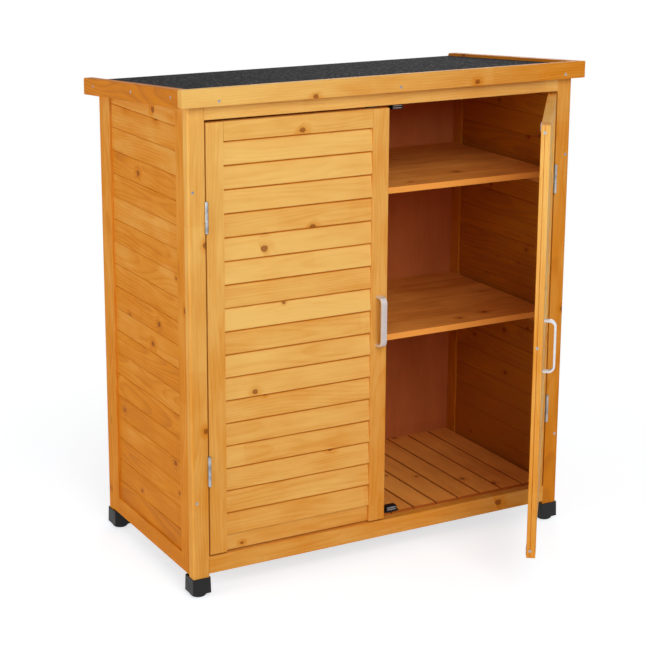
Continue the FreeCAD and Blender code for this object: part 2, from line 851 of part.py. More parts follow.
def carcass_pieces():
    pieces = {
        "front_stile_left": front_stile(-1),
        "front_stile_right": front_stile(1),
        "front_rail_top": front_top_rail(),
        "front_rail_bottom": frame_bottom_rail(y_front, y_side_front, y_front),
        "rear_stile_left": rear_stile(-1),
        "rear_stile_right": rear_stile(1),
        "rear_rail_top": rear_top_rail(),
        "rear_rail_bottom": frame_bottom_rail(y_side_rear, y_rear, y_rear),
        "back_panel": back_panel(),
        "floor_boards": floor_boards(),
        "floor_bearers": floor_bearers(),
        "shelf_lower": shelf(shelf_top_z[0]),
        "shelf_upper": shelf(shelf_top_z[1]),
        "shelf_cleats": shelf_cleats(),
        "roof_batten_front": roof_batten_front(),
        "roof_board": roof_board(),
        "roof_felt": roof_felt(),
        "fascia_front": fascia_front(),
        "assembly_screws": assembly_screws(),
        "hinge_frame_leaves": both_sides([frame_leaf(z) for z in hinge_centre_z]),
        "hinge_pins": both_sides([hinge_pin(z) for z in hinge_centre_z]),
        "catch_housings": group([catch_housing(*place) for place in catch_places()]),
        "catch_pole_plates": group([plate for place in catch_places() for plate in pole_plates(*place)]),
        "catch_screws": group([one for place in catch_places() for one in catch_screws(*place)]),
    }
    for side, word in ((-1, "left"), (1, "right")):
        pieces["side_stiles_" + word] = side_stiles(side)
        pieces["side_rail_bottom_" + word] = side_bottom_rail(side)
        pieces["side_boards_" + word] = side_boards(side)
        pieces["fascia_" + word] = fascia_side(side)
        for end, place in ((-1, "front"), (1, "rear")):
            pieces["foot_cap_" + place + "_" + word] = foot_cap(side, end)
            pieces["levelling_glide_" + place + "_" + word] = levelling_glide(side, end)
    return pieces


def all_pieces():
    pieces = carcass_pieces()
    for name, shape in door_pieces().items():
        opened = turned(shape, hinge_axis_x, hinge_axis_y, right_door_open_deg)
        pieces["right_" + name] = opened
        pieces["left_" + name] = mirrored(shape)
    return pieces


for node, shape in all_pieces().items():
    shape.exportStep("parts/" + node + ".step")
    state = "valid" if shape.isValid() else "INVALID"
    print(node, len(shape.Solids), "solids", round(shape.Volume), "mm3", state)
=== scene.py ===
import json
import logging
import math
import random
from collections.abc import Callable, Iterable, Iterator
from contextlib import contextmanager
from dataclasses import dataclass
from enum import Enum

import bmesh
import bpy
from mathutils import Matrix, Vector


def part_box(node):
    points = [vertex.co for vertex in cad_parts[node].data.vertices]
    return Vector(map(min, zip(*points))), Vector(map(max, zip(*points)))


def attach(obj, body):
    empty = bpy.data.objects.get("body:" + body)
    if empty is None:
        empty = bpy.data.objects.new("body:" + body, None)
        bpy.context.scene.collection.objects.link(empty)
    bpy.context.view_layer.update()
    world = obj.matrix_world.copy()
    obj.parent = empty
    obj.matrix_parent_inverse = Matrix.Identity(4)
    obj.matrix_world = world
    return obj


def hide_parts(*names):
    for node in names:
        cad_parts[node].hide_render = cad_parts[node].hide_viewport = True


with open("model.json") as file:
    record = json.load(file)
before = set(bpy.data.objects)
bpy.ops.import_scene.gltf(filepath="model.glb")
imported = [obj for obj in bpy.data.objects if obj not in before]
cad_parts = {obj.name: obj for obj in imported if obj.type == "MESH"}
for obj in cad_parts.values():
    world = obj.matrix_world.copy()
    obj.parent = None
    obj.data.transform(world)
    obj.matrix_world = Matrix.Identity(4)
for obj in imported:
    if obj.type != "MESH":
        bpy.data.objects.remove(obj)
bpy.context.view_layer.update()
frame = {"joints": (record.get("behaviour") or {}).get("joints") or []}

log = logging.getLogger("cabinet")

Piece = bpy.types.Object
Material = bpy.types.Material
Tree = bpy.types.NodeTree
Node = bpy.types.Node
Socket = bpy.types.NodeSocket
Colour = tuple[float, float, float, float]
Span = tuple[float, float]
Tone = tuple[float, float]  # How deep a stain is, and how far that may differ
Test = Callable[[Vector, Vector], bool]

MM = 0.001
MIRROR = Matrix.Scale(-1, 4, (1, 0, 0))
UNTURNED = Matrix.Identity(4)
SIDES = ((-1, "left"), (1, "right"))
CORNER_STEPS = 4
BLACK: Colour = (0.0, 0.0, 0.0, 1.0)
WHITE: Colour = (1.0, 1.0, 1.0, 1.0)
SQUARE = 0.9  # Least share of a direction that counts as lying along an axis
PAST = 1.0  # How far a cutter reaches past what it cuts


class Way(Enum):
    """Direction along an axis, such as that of a board's grain."""

    X = 0
    Y = 1
    Z = 2

    def along(self, direction: Vector) -> bool:
        """Tells whether a direction lies this way, either way round."""
        return abs(direction[self.value]) > SQUARE


class Slot(Enum):
    """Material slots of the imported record."""

    STAINED_FIR = "stained_fir"
    INNER_FIR = "inner_fir"
    PLYWOOD = "plywood"
    ROOF_FELT = "roof_felt"
    BLACK_PLASTIC = "black_plastic"
    ZINC_STEEL = "zinc_steel"
    SATIN_CHROME = "satin_chrome"


def srgb(red: int, green: int, blue: int) -> Colour:
    """Turns a colour as seen on a screen into a shader colour.

    Args:
        red: Red, from 0 to 255.
        green: Green, from 0 to 255.
        blue: Blue, from 0 to 255.

    Returns:
        The linear colour with full alpha.
    """
    shares = (value / 255 for value in (red, green, blue))
    linear = (s / 12.92 if s < 0.04045 else ((s + 0.055) / 1.055) ** 2.4 for s in shares)
    return (*linear, 1.0)


# Work at the bench: every size and place is in millimetres, every matrix in metres

def node_box(node: str) -> tuple[Vector, Vector]:
    """Lowest and highest corner of a CAD node."""
    low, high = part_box(node)
    return low / MM, high / MM


def near(a: float, b: float, room: float = 0.3) -> bool:
    """Tells whether two sizes are the same, give or take the room."""
    return abs(a - b) < room


def edges_at(way: Way, x: float | None = None, y: float | None = None, z: float | None = None) -> Test:
    """Makes a test that finds the edges that run one way, where they lie as given.

    Args:
        way: Direction that they run in.
        x: Where they lie from left to right.
        y: Where they lie from front to rear.
        z: How high they lie.

    Returns:
        The test of an edge's middle and direction.
    """
    return lambda middle, run: way.along(run) and all(
        wanted is None or near(found, wanted) for found, wanted in zip(middle, (x, y, z)))


def up(middle: Vector, normal: Vector) -> bool:
    """Tells whether a face looks up."""
    return normal.z > SQUARE


def down(middle: Vector, normal: Vector) -> bool:
    """Tells whether a face looks down."""
    return normal.z < -SQUARE


def pick_up(*pieces: Piece) -> None:
    """Selects these pieces only, the first of them active."""
    bpy.ops.object.select_all(action="DESELECT")
    for piece in pieces:
        piece.select_set(True)
    if pieces:
        bpy.context.view_layer.objects.active = pieces[0]


def claimed() -> Piece:
    """Takes the blank just added, its place and size put into its mesh."""
    bpy.ops.object.transform_apply(location=True, rotation=True, scale=True)
    return bpy.context.object


def block(low: Iterable[float], high: Iterable[float]) -> Piece:
    """Adds a squared blank.

    Args:
        low: Lowest corner.
        high: Highest corner.

    Returns:
        The blank.
    """
    pick_up()
    start, end = Vector(low) * MM, Vector(high) * MM
    bpy.ops.mesh.primitive_cube_add(size=1.0, location=(start + end) / 2, scale=end - start)
    return claimed()


def rod(foot: Iterable[float], head: Iterable[float], radius: float, sides: int = 32) -> Piece:
    """Adds a round or many-sided bar.

    Args:
        foot: Middle of one end.
        head: Middle of the other end.
        radius: Its radius.
        sides: Number of its sides.

    Returns:
        The bar.
    """
    pick_up()
    start, end = Vector(foot) * MM, Vector(head) * MM
    turn = (end - start).to_track_quat("Z", "Y").to_euler()
    bpy.ops.mesh.primitive_cylinder_add(vertices=sides, radius=radius * MM, depth=(end - start).length,
                                        location=(start + end) / 2, rotation=turn)
    return claimed()


@contextmanager
def editing(piece: Piece, faces: Test | None = None, edges: Test | None = None) -> Iterator[None]:
    """Opens a piece in edit mode with the wanted faces or edges selected, or else everything.

    Args:
        piece: The piece to work on.
        faces: Test of a face's middle and normal.
        edges: Test of an edge's middle and direction.

    Returns:
        A context that closes the piece again at its end.
    """
    pick_up(piece)
    bpy.ops.object.mode_set(mode="EDIT")
    bpy.ops.mesh.select_mode(type="EDGE" if edges else "FACE")
    bpy.ops.mesh.select_all(action="DESELECT" if edges or faces else "SELECT")
    shape = bmesh.from_edit_mesh(piece.data)
    for face in shape.faces if faces else ():
        face.select_set(faces(face.calc_center_median() / MM, face.normal))
    for edge in shape.edges if edges else ():
        start, end = (corner.co for corner in edge.verts)
        edge.select_set(edges((start + end) / 2 / MM, (end - start).normalized()))
    shape.select_flush_mode()
    bmesh.update_edit_mesh(piece.data)
    yield
    bpy.ops.object.mode_set(mode="OBJECT")


def extrude(travel: Iterable[float]) -> None:
    """Extrudes what is selected in edit mode along a travel."""
    bpy.ops.mesh.extrude_region_move(TRANSFORM_OT_translate={"value": Vector(travel) * MM})


def push(piece: Piece, faces: Test, travel: Iterable[float]) -> None:
    """Extrudes the wanted faces of a piece along a travel."""
    with editing(piece, faces=faces):
        extrude(travel)


def taper(piece: Piece, faces: Test, ratio: float, centre: Iterable[float] = (0, 0, 0)) -> None:
    """Scales the wanted faces of a piece lengthwise and crosswise about a centre."""
    with editing(piece, faces=faces):
        bpy.ops.transform.resize(value=(ratio, ratio, 1), center_override=Vector(centre) * MM)


def inset(piece: Piece, faces: Test, width: float, rise: float = 0.0) -> None:
    """Insets the wanted faces of a piece, and raises or sinks what is inside."""
    with editing(piece, faces=faces):
        bpy.ops.mesh.inset(thickness=width * MM, depth=rise * MM)


def draw(piece: Piece, faces: Test, rim: float, travel: Iterable[float]) -> None:
    """Insets the wanted faces of a piece and extrudes what is inside.

    Args:
        piece: The piece to work on.
        faces: Test of a face's middle and normal.
        rim: Width of the rim that stays.
        travel: Way that the inside goes.
    """
    with editing(piece, faces=faces):
        bpy.ops.mesh.inset(thickness=rim * MM)
        extrude(travel)


def round_edges(piece: Piece, edges: Test, size: float, steps: int = 1) -> None:
    """Bevels the wanted edges of a piece."""
    with editing(piece, edges=edges):
        bpy.ops.mesh.bevel(offset=size * MM, segments=steps, affect="EDGES")


def saw(piece: Piece, through: Iterable[float], away: Iterable[float], keep: bool = False) -> None:
    """Saws a piece along a plane.

    Args:
        piece: The piece to saw.
        through: A point of the plane.
        away: Normal of the plane, on the side of the offcut.
        keep: Scores the piece all round instead and keeps both sides.
    """
    with editing(piece):
        bpy.ops.mesh.bisect(plane_co=Vector(through) * MM, plane_no=Vector(away).normalized(),
                            use_fill=not keep, clear_outer=not keep)


def eased(piece: Piece, width: float, steps: int = 2, angle: float = 40.0) -> Piece:
    """Takes the sharpness off every edge of a piece.

    Args:
        piece: The piece to ease.
        width: Width of the eased edge.
        steps: Number of facets across it.
        angle: Least angle of an edge that is eased, in degrees.

    Returns:
        The same piece.
    """
    bevel = piece.modifiers.new("eased_edges", "BEVEL")
    bevel.width, bevel.segments = width * MM, steps
    bevel.limit_method, bevel.angle_limit = "ANGLE", math.radians(angle)
    pick_up(piece)
    bpy.ops.object.modifier_apply(modifier=bevel.name)
    return piece


def carve(piece: Piece, cutter: Piece, operation: str = "DIFFERENCE") -> None:
    """Cuts one piece out of another, or welds it on, and uses it up."""
    cut = piece.modifiers.new("cut", "BOOLEAN")
    cut.operation, cut.solver, cut.object, cut.use_self = operation, "EXACT", cutter, True
    pick_up(piece)
    bpy.ops.object.modifier_apply(modifier=cut.name)
    bpy.data.meshes.remove(cutter.data)


def put(piece: Piece, place: Matrix) -> Piece:
    """Moves a piece's mesh, its faces still looking out if the place mirrors it.

    Args:
        piece: The piece to move.
        place: Where it goes.

    Returns:
        The same piece.
    """
    piece.data.transform(place)
    if place.determinant() < 0:
        piece.data.flip_normals()
    return piece


def copies(pattern: Piece, places: Iterable[Matrix]) -> list[Piece]:
    """Copies a pattern with its mesh to each place, and throws the pattern away.

    Args:
        pattern: The piece to copy.
        places: Where the copies go.

    Returns:
        The copies.
    """
    made = []
    for place in places:
        copy = pattern.copy()
        copy.data = pattern.data.copy()
        bpy.context.scene.collection.objects.link(copy)
        made.append(put(copy, place))
    bpy.data.meshes.remove(pattern.data)
    return made


def moved(x: float = 0.0, y: float = 0.0, z: float = 0.0) -> Matrix:
    """Matrix that moves by so many millimetres."""
    return Matrix.Translation(Vector((x, y, z)) * MM)


def joined(pieces: list[Piece]) -> Piece:
    """Makes several pieces one.

    Args:
        pieces: The pieces to put together.

    Returns:
        The whole.
    """
    pick_up(*pieces)
    if len(pieces) > 1:
        bpy.ops.object.join()
    return bpy.context.view_layer.objects.active


# Finishes

class Graph:
    """Wires the nodes of one shader tree."""

    def __init__(self, tree: Tree) -> None:
        """Keeps the tree to wire."""
        self.tree = tree

    def plug(self, node: Node, sockets: dict) -> Node:
        """Gives inputs of a node their values or links.

        Args:
            node: The node.
            sockets: Value or link of each input that isn't left alone.

        Returns:
            The same node.
        """
        for key, value in sockets.items():
            if isinstance(value, Socket):
                self.tree.links.new(value, node.inputs[key])
            else:
                node.inputs[key].default_value = value
        return node

    def node(self, kind: str, sockets: dict, **settings: object) -> Node:
        """Adds a node.

        Args:
            kind: Kind of node, without its usual prefix.
            sockets: Value or link of each input that isn't left alone.
            settings: Settings of the node itself.

        Returns:
            The node.
        """
        made = self.tree.nodes.new("ShaderNode" + kind)
        for key, value in settings.items():
            setattr(made, key, value)
        return self.plug(made, sockets)

    def calc(self, operation: str, *values: object) -> Socket:
        """Reckons with numbers."""
        return self.node("Math", dict(enumerate(values)), operation=operation).outputs[0]

    def minus(self, first: object, second: object) -> Socket:
        """Takes the second number from the first."""
        return self.calc("SUBTRACT", first, second)

    def times(self, first: object, second: object) -> Socket:
        """Multiplies two numbers."""
        return self.calc("MULTIPLY", first, second)

    def times_plus(self, first: object, second: object, third: object) -> Socket:
        """Multiplies two numbers and adds a third."""
        return self.calc("MULTIPLY_ADD", first, second, third)

    def vector(self, operation: str, first: object, second: object) -> Node:
        """Reckons with vectors."""
        return self.node("VectorMath", {0: first, 1: second}, operation=operation)

    def noise(self, vector: Socket, scale: tuple[float, float, float], detail: float) -> Node:
        """Adds a noise that is stretched along the axes."""
        stretched = self.vector("MULTIPLY", vector, scale).outputs[0]
        return self.node("TexNoise", {"Vector": stretched, "Scale": 1.0, "Detail": detail})

    def rise(self, value: object, start: float, end: float, top: float = 1.0) -> Socket:
        """Climbs softly from 0 at the start to the top at the end."""
        sockets = {"Value": value, "From Min": start, "From Max": end, "To Max": top}
        return self.node("MapRange", sockets, interpolation_type="SMOOTHSTEP").outputs[0]

    def blended(self, share: object, first: object, second: object) -> Socket:
        """Goes from the first colour to the second by a share."""
        return self.node("Mix", {0: share, 6: first, 7: second}, data_type="RGBA").outputs[2]

    def bump(self, height: Socket, strength: float, distance: float, **settings: object) -> Socket:
        """Turns a height into a normal."""
        sockets = {"Height": height, "Strength": strength, "Distance": distance}
        return self.node("Bump", sockets, **settings).outputs[0]

    def place(self) -> Socket:
        """Place on the piece itself."""
        return self.node("TexCoord", {}).outputs["Object"]


def new_group(name: str, inputs: dict[str, str], outputs: dict[str, str]) -> tuple[Graph, dict, Node]:
    """Starts a shader node group.

    Args:
        name: Name of the group.
        inputs: Name and kind of each input.
        outputs: Name and kind of each output.

    Returns:
        Its graph, what it is given, by name, and the node that takes its results.
    """
    tree = bpy.data.node_groups.new(name, "ShaderNodeTree")
    for way, sockets in (("INPUT", inputs), ("OUTPUT", outputs)):
        for socket, kind in sockets.items():
            tree.interface.new_socket(name=socket, in_out=way, socket_type="NodeSocket" + kind)
    given = tree.nodes.new("NodeGroupInput").outputs
    return Graph(tree), {name: given[name] for name in inputs}, tree.nodes.new("NodeGroupOutput")


def timber_figure() -> Tree:
    """Builds the group that draws growth rings, fibres, knots and glued lengths on sawn boards.

    Returns:
        The node group.
    """
    inputs = {"Grain": "Vector"}
    inputs |= dict.fromkeys(("Tone", "End", "Ring Width", "Figure", "Knot Share"), "Float")
    inputs |= dict.fromkeys(("Pale", "Deep", "Line", "Knot"), "Color")
    outputs = {"Color": "Color", "Roughness": "Float", "Height": "Float"}
    g, given, result = new_group("timber_figure", inputs, outputs)
    grain, figure = given["Grain"], given["Figure"]

    # Knots right through the board, in some of the cells only, each with its own size
    flat = g.vector("MULTIPLY", grain, (1.0, 1.3, 0.0)).outputs[0]
    cells = g.node("TexVoronoi", {"Vector": flat, "Scale": 14.0}, voronoi_dimensions="2D")
    chance = g.node("SeparateColor", {0: cells.outputs["Color"]})
    chosen = g.calc("LESS_THAN", chance.outputs[0], given["Knot Share"])
    size = g.times_plus(chance.outputs[1], 0.055, 0.045)
    reach = g.calc("DIVIDE", cells.outputs["Distance"], size)
    fuzz = g.noise(grain, (160.0, 160.0, 160.0), 2.0).outputs[0]
    reach = g.times_plus(g.minus(fuzz, 0.5), 0.8, reach)
    heart = g.times(chosen, g.minus(1.0, g.rise(reach, 0.65, 1.3)))
    rim = g.times(heart, g.rise(reach, 0.35, 0.9))
    halo = g.times(chosen, g.minus(1.0, g.rise(reach, 0.9, 4.2)))

    # Growth rings round a pith that wanders, bent aside by the knots
    wander = g.noise(grain, (2.4, 6.0, 6.0), 1.5).outputs[1]
    wander = g.vector("SUBTRACT", wander, (0.5, 0.5, 0.5)).outputs[0]
    sideways = g.vector("MULTIPLY", wander, (0.0, 0.05, 0.05)).outputs[0]
    bent = g.vector("ADD", sideways, grain).outputs[0]
    across = g.vector("MULTIPLY", bent, (0.0, 1.0, 1.0)).outputs[0]
    radius = g.node("VectorMath", {0: across}, operation="LENGTH").outputs["Value"]
    radius = g.times_plus(halo, 0.006, radius)
    ring = g.calc("FRACT", g.calc("DIVIDE", radius, given["Ring Width"]))
    late = g.times(g.rise(ring, 0.3, 0.88), g.minus(1.0, g.rise(ring, 0.88, 1.0)))

    # Fibres, soft clouds of stain, and lengths glued end to end
    streak, fibre, cloud = (g.minus(g.noise(grain, scale, detail).outputs[0], 0.5) for scale, detail in (
        ((9.0, 170.0, 170.0), 3.0), ((26.0, 1100.0, 1100.0), 1.0), ((8.0, 26.0, 26.0), 3.0)))
    split = g.node("SeparateXYZ", {0: grain})
    finger = g.times(g.calc("PINGPONG", split.outputs[1], 0.0019), 3.2)
    length = g.calc("FLOOR", g.calc("DIVIDE", g.calc("ADD", split.outputs[0], finger), 0.27))
    glued = g.node("TexWhiteNoise", {"W": length}, noise_dimensions="1D").outputs["Value"]

    # How deep the stain is, with the painted light and shade that the tone attribute carries for some pieces,
    # and the colours that it goes through
    depth = g.times_plus(g.minus(glued, 0.5), 0.16, given["Tone"])
    rings, ring_weight = g.minus(late, 0.35), g.times(figure, 0.34)
    for cause, weight in ((cloud, 0.9), (streak, figure), (fibre, 0.2), (rings, ring_weight), (halo, 0.35),
                          (given["End"], 0.3)):
        depth = g.times_plus(cause, weight, depth)
    stain = g.blended(g.rise(depth, -0.25, 1.25), given["Pale"], given["Deep"])
    lined = g.times(g.rise(g.calc("ADD", depth, g.times(late, 0.2)), 0.95, 1.9), 0.7)
    stain = g.blended(lined, stain, given["Line"])
    core = g.blended(0.8, stain, given["Knot"])
    stain = g.blended(g.times(heart, 0.85), stain, core)
    stain = g.blended(g.times(rim, 0.5), stain, given["Knot"])
    height = g.times_plus(late, 0.5, g.times_plus(fibre, 0.6, streak))
    g.plug(result, {"Color": stain, "Roughness": g.times_plus(streak, 0.25, 0.56), "Height": height})
    return g.tree


def surface_wear() -> Tree:
    """Builds the group of faint smudges and fine pitting that metal and plastic share.

    Returns:
        The node group.
    """
    inputs, outputs = {"Place": "Vector", "Pitting": "Float"}, {"Smudge": "Float", "Pits": "Float"}
    g, given, result = new_group("surface_wear", inputs, outputs)
    smudge = g.rise(g.noise(given["Place"], (60.0, 60.0, 60.0), 3.0).outputs[0], 0.35, 0.7)
    size = g.node("VectorMath", {0: given["Place"], "Scale": given["Pitting"]}, operation="SCALE").outputs[0]
    pits = g.node("TexNoise", {"Vector": size, "Scale": 1.0, "Detail": 2.0}).outputs[0]
    g.plug(result, {"Smudge": smudge, "Pits": pits})
    return g.tree


def new_material(name: str) -> tuple[Material, Graph, Node]:
    """Starts a material.

    Args:
        name: Name of the material.

    Returns:
        The material, its graph and its principled shader.
    """
    material = bpy.data.materials.new(name)
    material.use_nodes = True
    return material, Graph(material.node_tree), material.node_tree.nodes["Principled BSDF"]


@dataclass(frozen=True)
class Timber:
    """Stained softwood or ply, drawn along each board's own grain."""

    name: str
    pale: Colour
    deep: Colour
    line: Colour = srgb(176, 98, 38)
    knot: Colour = srgb(128, 56, 20)
    ring_width: float = 0.0048
    figure: float = 0.36
    knot_share: float = 0.13
    shine: float = 0.05
    relief: float = 0.25
    relief_deep: float = 0.0006

    def make(self, figure: Tree) -> Material:
        """Builds the material.

        Args:
            figure: The group that draws the timber.

        Returns:
            The material.
        """
        material, g, shader = new_material(self.name)
        grain, tone, end = (g.node("Attribute", {}, attribute_name=name).outputs
                            for name in ("grain", "tone", "end_grain"))
        sockets = {"Grain": grain["Vector"], "Tone": tone["Fac"], "End": end["Fac"], "Pale": self.pale,
                   "Deep": self.deep, "Line": self.line, "Knot": self.knot, "Ring Width": self.ring_width,
                   "Figure": self.figure, "Knot Share": self.knot_share}
        drawn = g.node("Group", sockets, node_tree=figure).outputs
        g.plug(shader, {
            "Base Color": drawn["Color"], "Roughness": drawn["Roughness"],
            "Normal": g.bump(drawn["Height"], self.relief, self.relief_deep),
            "Specular IOR Level": self.shine})
        return material


@dataclass(frozen=True)
class Felt:
    """Roofing felt strewn with mineral granules."""

    name: str = "mineral_felt"
    dark: Colour = srgb(5, 5, 6)
    middle: Colour = srgb(17, 17, 18)
    light: Colour = srgb(90, 89, 91)
    granule: float = 240.0
    roughness: float = 0.93
    shine: float = 0.04
    relief: float = 0.6
    relief_deep: float = 0.0008

    def make(self) -> Material:
        """Builds the material and returns it."""
        material, g, shader = new_material(self.name)
        place = g.place()
        grains = g.node("TexVoronoi", {"Vector": place, "Scale": self.granule})
        chance = g.node("SeparateColor", {0: grains.outputs["Color"]})
        cloud = g.noise(place, (14.0, 14.0, 14.0), 4.0).outputs[0]
        grey = g.blended(g.rise(chance.outputs[0], 0.0, 0.6), self.dark, self.middle)
        grey = g.blended(g.rise(chance.outputs[1], 0.72, 0.96), grey, self.light)
        grey = g.blended(g.rise(cloud, 0.45, 0.8, 0.35), grey, self.dark)
        bump = g.bump(grains.outputs["Distance"], self.relief, self.relief_deep, invert=True)
        g.plug(shader, {"Base Color": grey, "Normal": bump, "Roughness": self.roughness,
                        "Specular IOR Level": self.shine})
        return material


@dataclass(frozen=True)
class Hard:
    """Metal or moulded plastic with faint smudges and fine pitting."""

    name: str
    colour: Colour
    smudged: Colour
    metallic: float
    roughness: float
    pitting: float
    relief: float
    shine: float = 0.5
    relief_deep: float = 0.0002
    smudge_rough: float = 0.14

    def make(self, wear: Tree) -> Material:
        """Builds the material.

        Args:
            wear: The group of smudges and pits.

        Returns:
            The material.
        """
        material, g, shader = new_material(self.name)
        worn = g.node("Group", {"Pitting": self.pitting, "Place": g.place()}, node_tree=wear).outputs
        g.plug(shader, {
            "Base Color": g.blended(worn["Smudge"], self.colour, self.smudged),
            "Roughness": g.times_plus(worn["Smudge"], self.smudge_rough, self.roughness),
            "Normal": g.bump(worn["Pits"], self.relief, self.relief_deep),
            "Metallic": self.metallic, "Specular IOR Level": self.shine})
        return material


def all_finishes() -> dict[Slot, Material]:
    """Builds the material of every slot.

    Returns:
        The materials by slot.
    """
    figure, wear = timber_figure(), surface_wear()
    timbers = {
        Slot.STAINED_FIR: Timber("honey_stained_fir", srgb(243, 196, 110), srgb(216, 131, 24)),
        Slot.INNER_FIR: Timber("inner_stained_fir", srgb(250, 172, 80), srgb(190, 98, 30)),
        Slot.PLYWOOD: Timber("stained_ply", srgb(226, 138, 78), srgb(188, 104, 56), line=srgb(130, 64, 28),
                             ring_width=0.011, figure=0.14, knot_share=0.0),
    }
    hard = {
        Slot.BLACK_PLASTIC: Hard("moulded_black_plastic", srgb(20, 20, 21), srgb(28, 28, 28), metallic=0.0,
                                 roughness=0.45, pitting=1500.0, relief=0.35, shine=0.28),
        Slot.ZINC_STEEL: Hard("zinc_plated_steel", srgb(186, 190, 195), srgb(146, 148, 152), metallic=0.75,
                              roughness=0.36, pitting=900.0, relief=0.15),
        Slot.SATIN_CHROME: Hard("satin_chrome", srgb(226, 227, 229), srgb(216, 217, 219), metallic=0.6,
                                roughness=0.36, pitting=700.0, relief=0.05),
    }
    made = {slot: finish.make(figure) for slot, finish in timbers.items()}
    made |= {slot: finish.make(wear) for slot, finish in hard.items()}
    return made | {Slot.ROOF_FELT: Felt().make()}


# Sub-assemblies

@dataclass
class Bench:
    """What every sub-assembly works with: the finishes and a seeded source of chance."""

    finishes: dict[Slot, Material]
    rng: random.Random
    smooth: float = 32.0  # Greatest angle, in degrees, between faces that look round
    heart: Span = (0.022, 0.06)  # How far off the middle of the tree lies, in metres
    beside: float = 0.02  # How far to one side of that it may lie
    turned: float = 0.3  # Share of boards that are cut the other way
    trunk: float = 9.0  # Length of tree that boards are cut from
    end: float = 0.8  # Least share of a direction along the grain that shows end grain
    fade: float = 0.5  # How much deeper the stain gets with every metre towards the floor
    fade_middle: float = 0.5  # Height where that changes nothing

    def fit(self, piece: Piece, name: str, body: str, slot: Slot, *nodes: str) -> None:
        """Names and dresses a piece and lets it ride on its body.

        Args:
            piece: The finished piece.
            name: Its name.
            body: CAD body that it moves with.
            slot: Slot that it takes its finish from.
            nodes: CAD nodes that it stands for.
        """
        piece.name = piece.data.name = name
        piece.data.materials.clear()
        piece.data.materials.append(self.finishes[slot])
        pick_up(piece)
        bpy.ops.object.shade_smooth_by_angle(angle=math.radians(self.smooth))
        flat = piece.modifiers.new("flat_faces_stay_flat", "WEIGHTED_NORMAL")
        flat.keep_sharp = True
        bpy.ops.object.modifier_apply(modifier=flat.name)
        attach(piece, body)
        if nodes:
            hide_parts(*nodes)
        log.info("%s rides on %s, %d faces", piece.name, body, len(piece.data.polygons))

    def fit_boards(self, node: str, boards: list[Piece], slot: Slot = Slot.STAINED_FIR) -> None:
        """Makes boards one timber piece of the carcass, named after its CAD node."""
        self.fit(joined(boards), f"timber_{node}", "carcass", slot, node)

    def grained(self, piece: Piece, way: Way, tone: Tone, drift_and_shade: float = 0.0) -> Piece:
        """Gives a board its own place in a tree, its own tone, deeper towards the floor, and its end grain.

        Args:
            piece: The board.
            way: Direction of its grain.
            tone: How deep its stain is, from 0 to 1, and how much that may differ by chance.
            drift_and_shade: How much deeper the colour is at the far end than at the near one, partly a
                deeper stain and partly painted shade.

        Returns:
            The same board.
        """
        rng, mesh = self.rng, piece.data
        depth, spread = tone
        depth += rng.uniform(-spread, spread) / 2
        corners = [corner.co for corner in mesh.vertices]
        low = Vector(min(c[i] for c in corners) for i in range(3))
        high = Vector(max(c[i] for c in corners) for i in range(3))
        middle, span = (low + high) / 2, high - low
        across = sorted((i for i in range(3) if i != way.value), key=lambda i: -span[i])
        heart = rng.uniform(*self.heart) * rng.choice((-1, 1))
        beside = rng.uniform(-self.beside, self.beside)
        if rng.random() < self.turned:
            heart, beside = beside, heart
        offsets = (rng.uniform(0.0, self.trunk), beside, heart)
        run = drift_and_shade / span[way.value]
        grain, tones = [], []
        for corner in corners:
            spot = corner - middle
            grain += [spot[axis] + offset for axis, offset in zip((way.value, *across), offsets)]
            tones.append(depth + self.fade * (self.fade_middle - corner.z) + run * spot[way.value])
        ends = [float(abs(face.normal[way.value]) > self.end) for face in mesh.polygons]
        mesh.attributes.new("grain", "FLOAT_VECTOR", "POINT").data.foreach_set("vector", grain)
        mesh.attributes.new("tone", "FLOAT", "POINT").data.foreach_set("value", tones)
        mesh.attributes.new("end_grain", "FLOAT", "FACE").data.foreach_set("value", ends)
        return piece

    @staticmethod
    def deepened(piece: Piece, more: float, where: Callable[[Vector], bool]) -> None:
        """Deepens or pales a board's colour where a test holds: painted shade in joints and on faces turned
        from the lamps, painted light on edges that face them, and stain gathered in the slat laps.

        Args:
            piece: The board, its grain already marked.
            more: How much deeper the colour gets, or paler if negative.
            where: Test of a corner's place.
        """
        for corner, tone in zip(piece.data.vertices, piece.data.attributes["tone"].data):
            if where(corner.co / MM):
                tone.value += more


@dataclass(frozen=True)
class RoofLine:
    """Slope of the fascia tops, and of all that lies below them."""

    front_y: float = -225.5
    front_z: float = 965.0
    fall: float = 35.0
    depth: float = 465.0
    felt_sink: float = 6.0
    felt: float = 2.5
    board: float = 9.0

    def height(self, y: float) -> float:
        """Height of the fascia tops at a place between front and rear."""
        return self.front_z - self.fall * (y - self.front_y) / self.depth

    def saw_top(self, piece: Piece, drop: float = 0.0) -> None:
        """Saws off what stands above the slope, lowered by a drop."""
        saw(piece, (0, self.front_y, self.front_z - drop), (0, self.fall / self.depth, 1))

    def saw_bottom(self, piece: Piece, drop: float) -> None:
        """Saws off what hangs below the slope, lowered by a drop."""
        saw(piece, (0, self.front_y, self.front_z - drop), (0, -self.fall / self.depth, -1))

    def trim(self, piece: Piece) -> None:
        """Saws off what stands above the underside of the roof board."""
        self.saw_top(piece, self.felt_sink + self.felt + self.board)


ROOF = RoofLine()


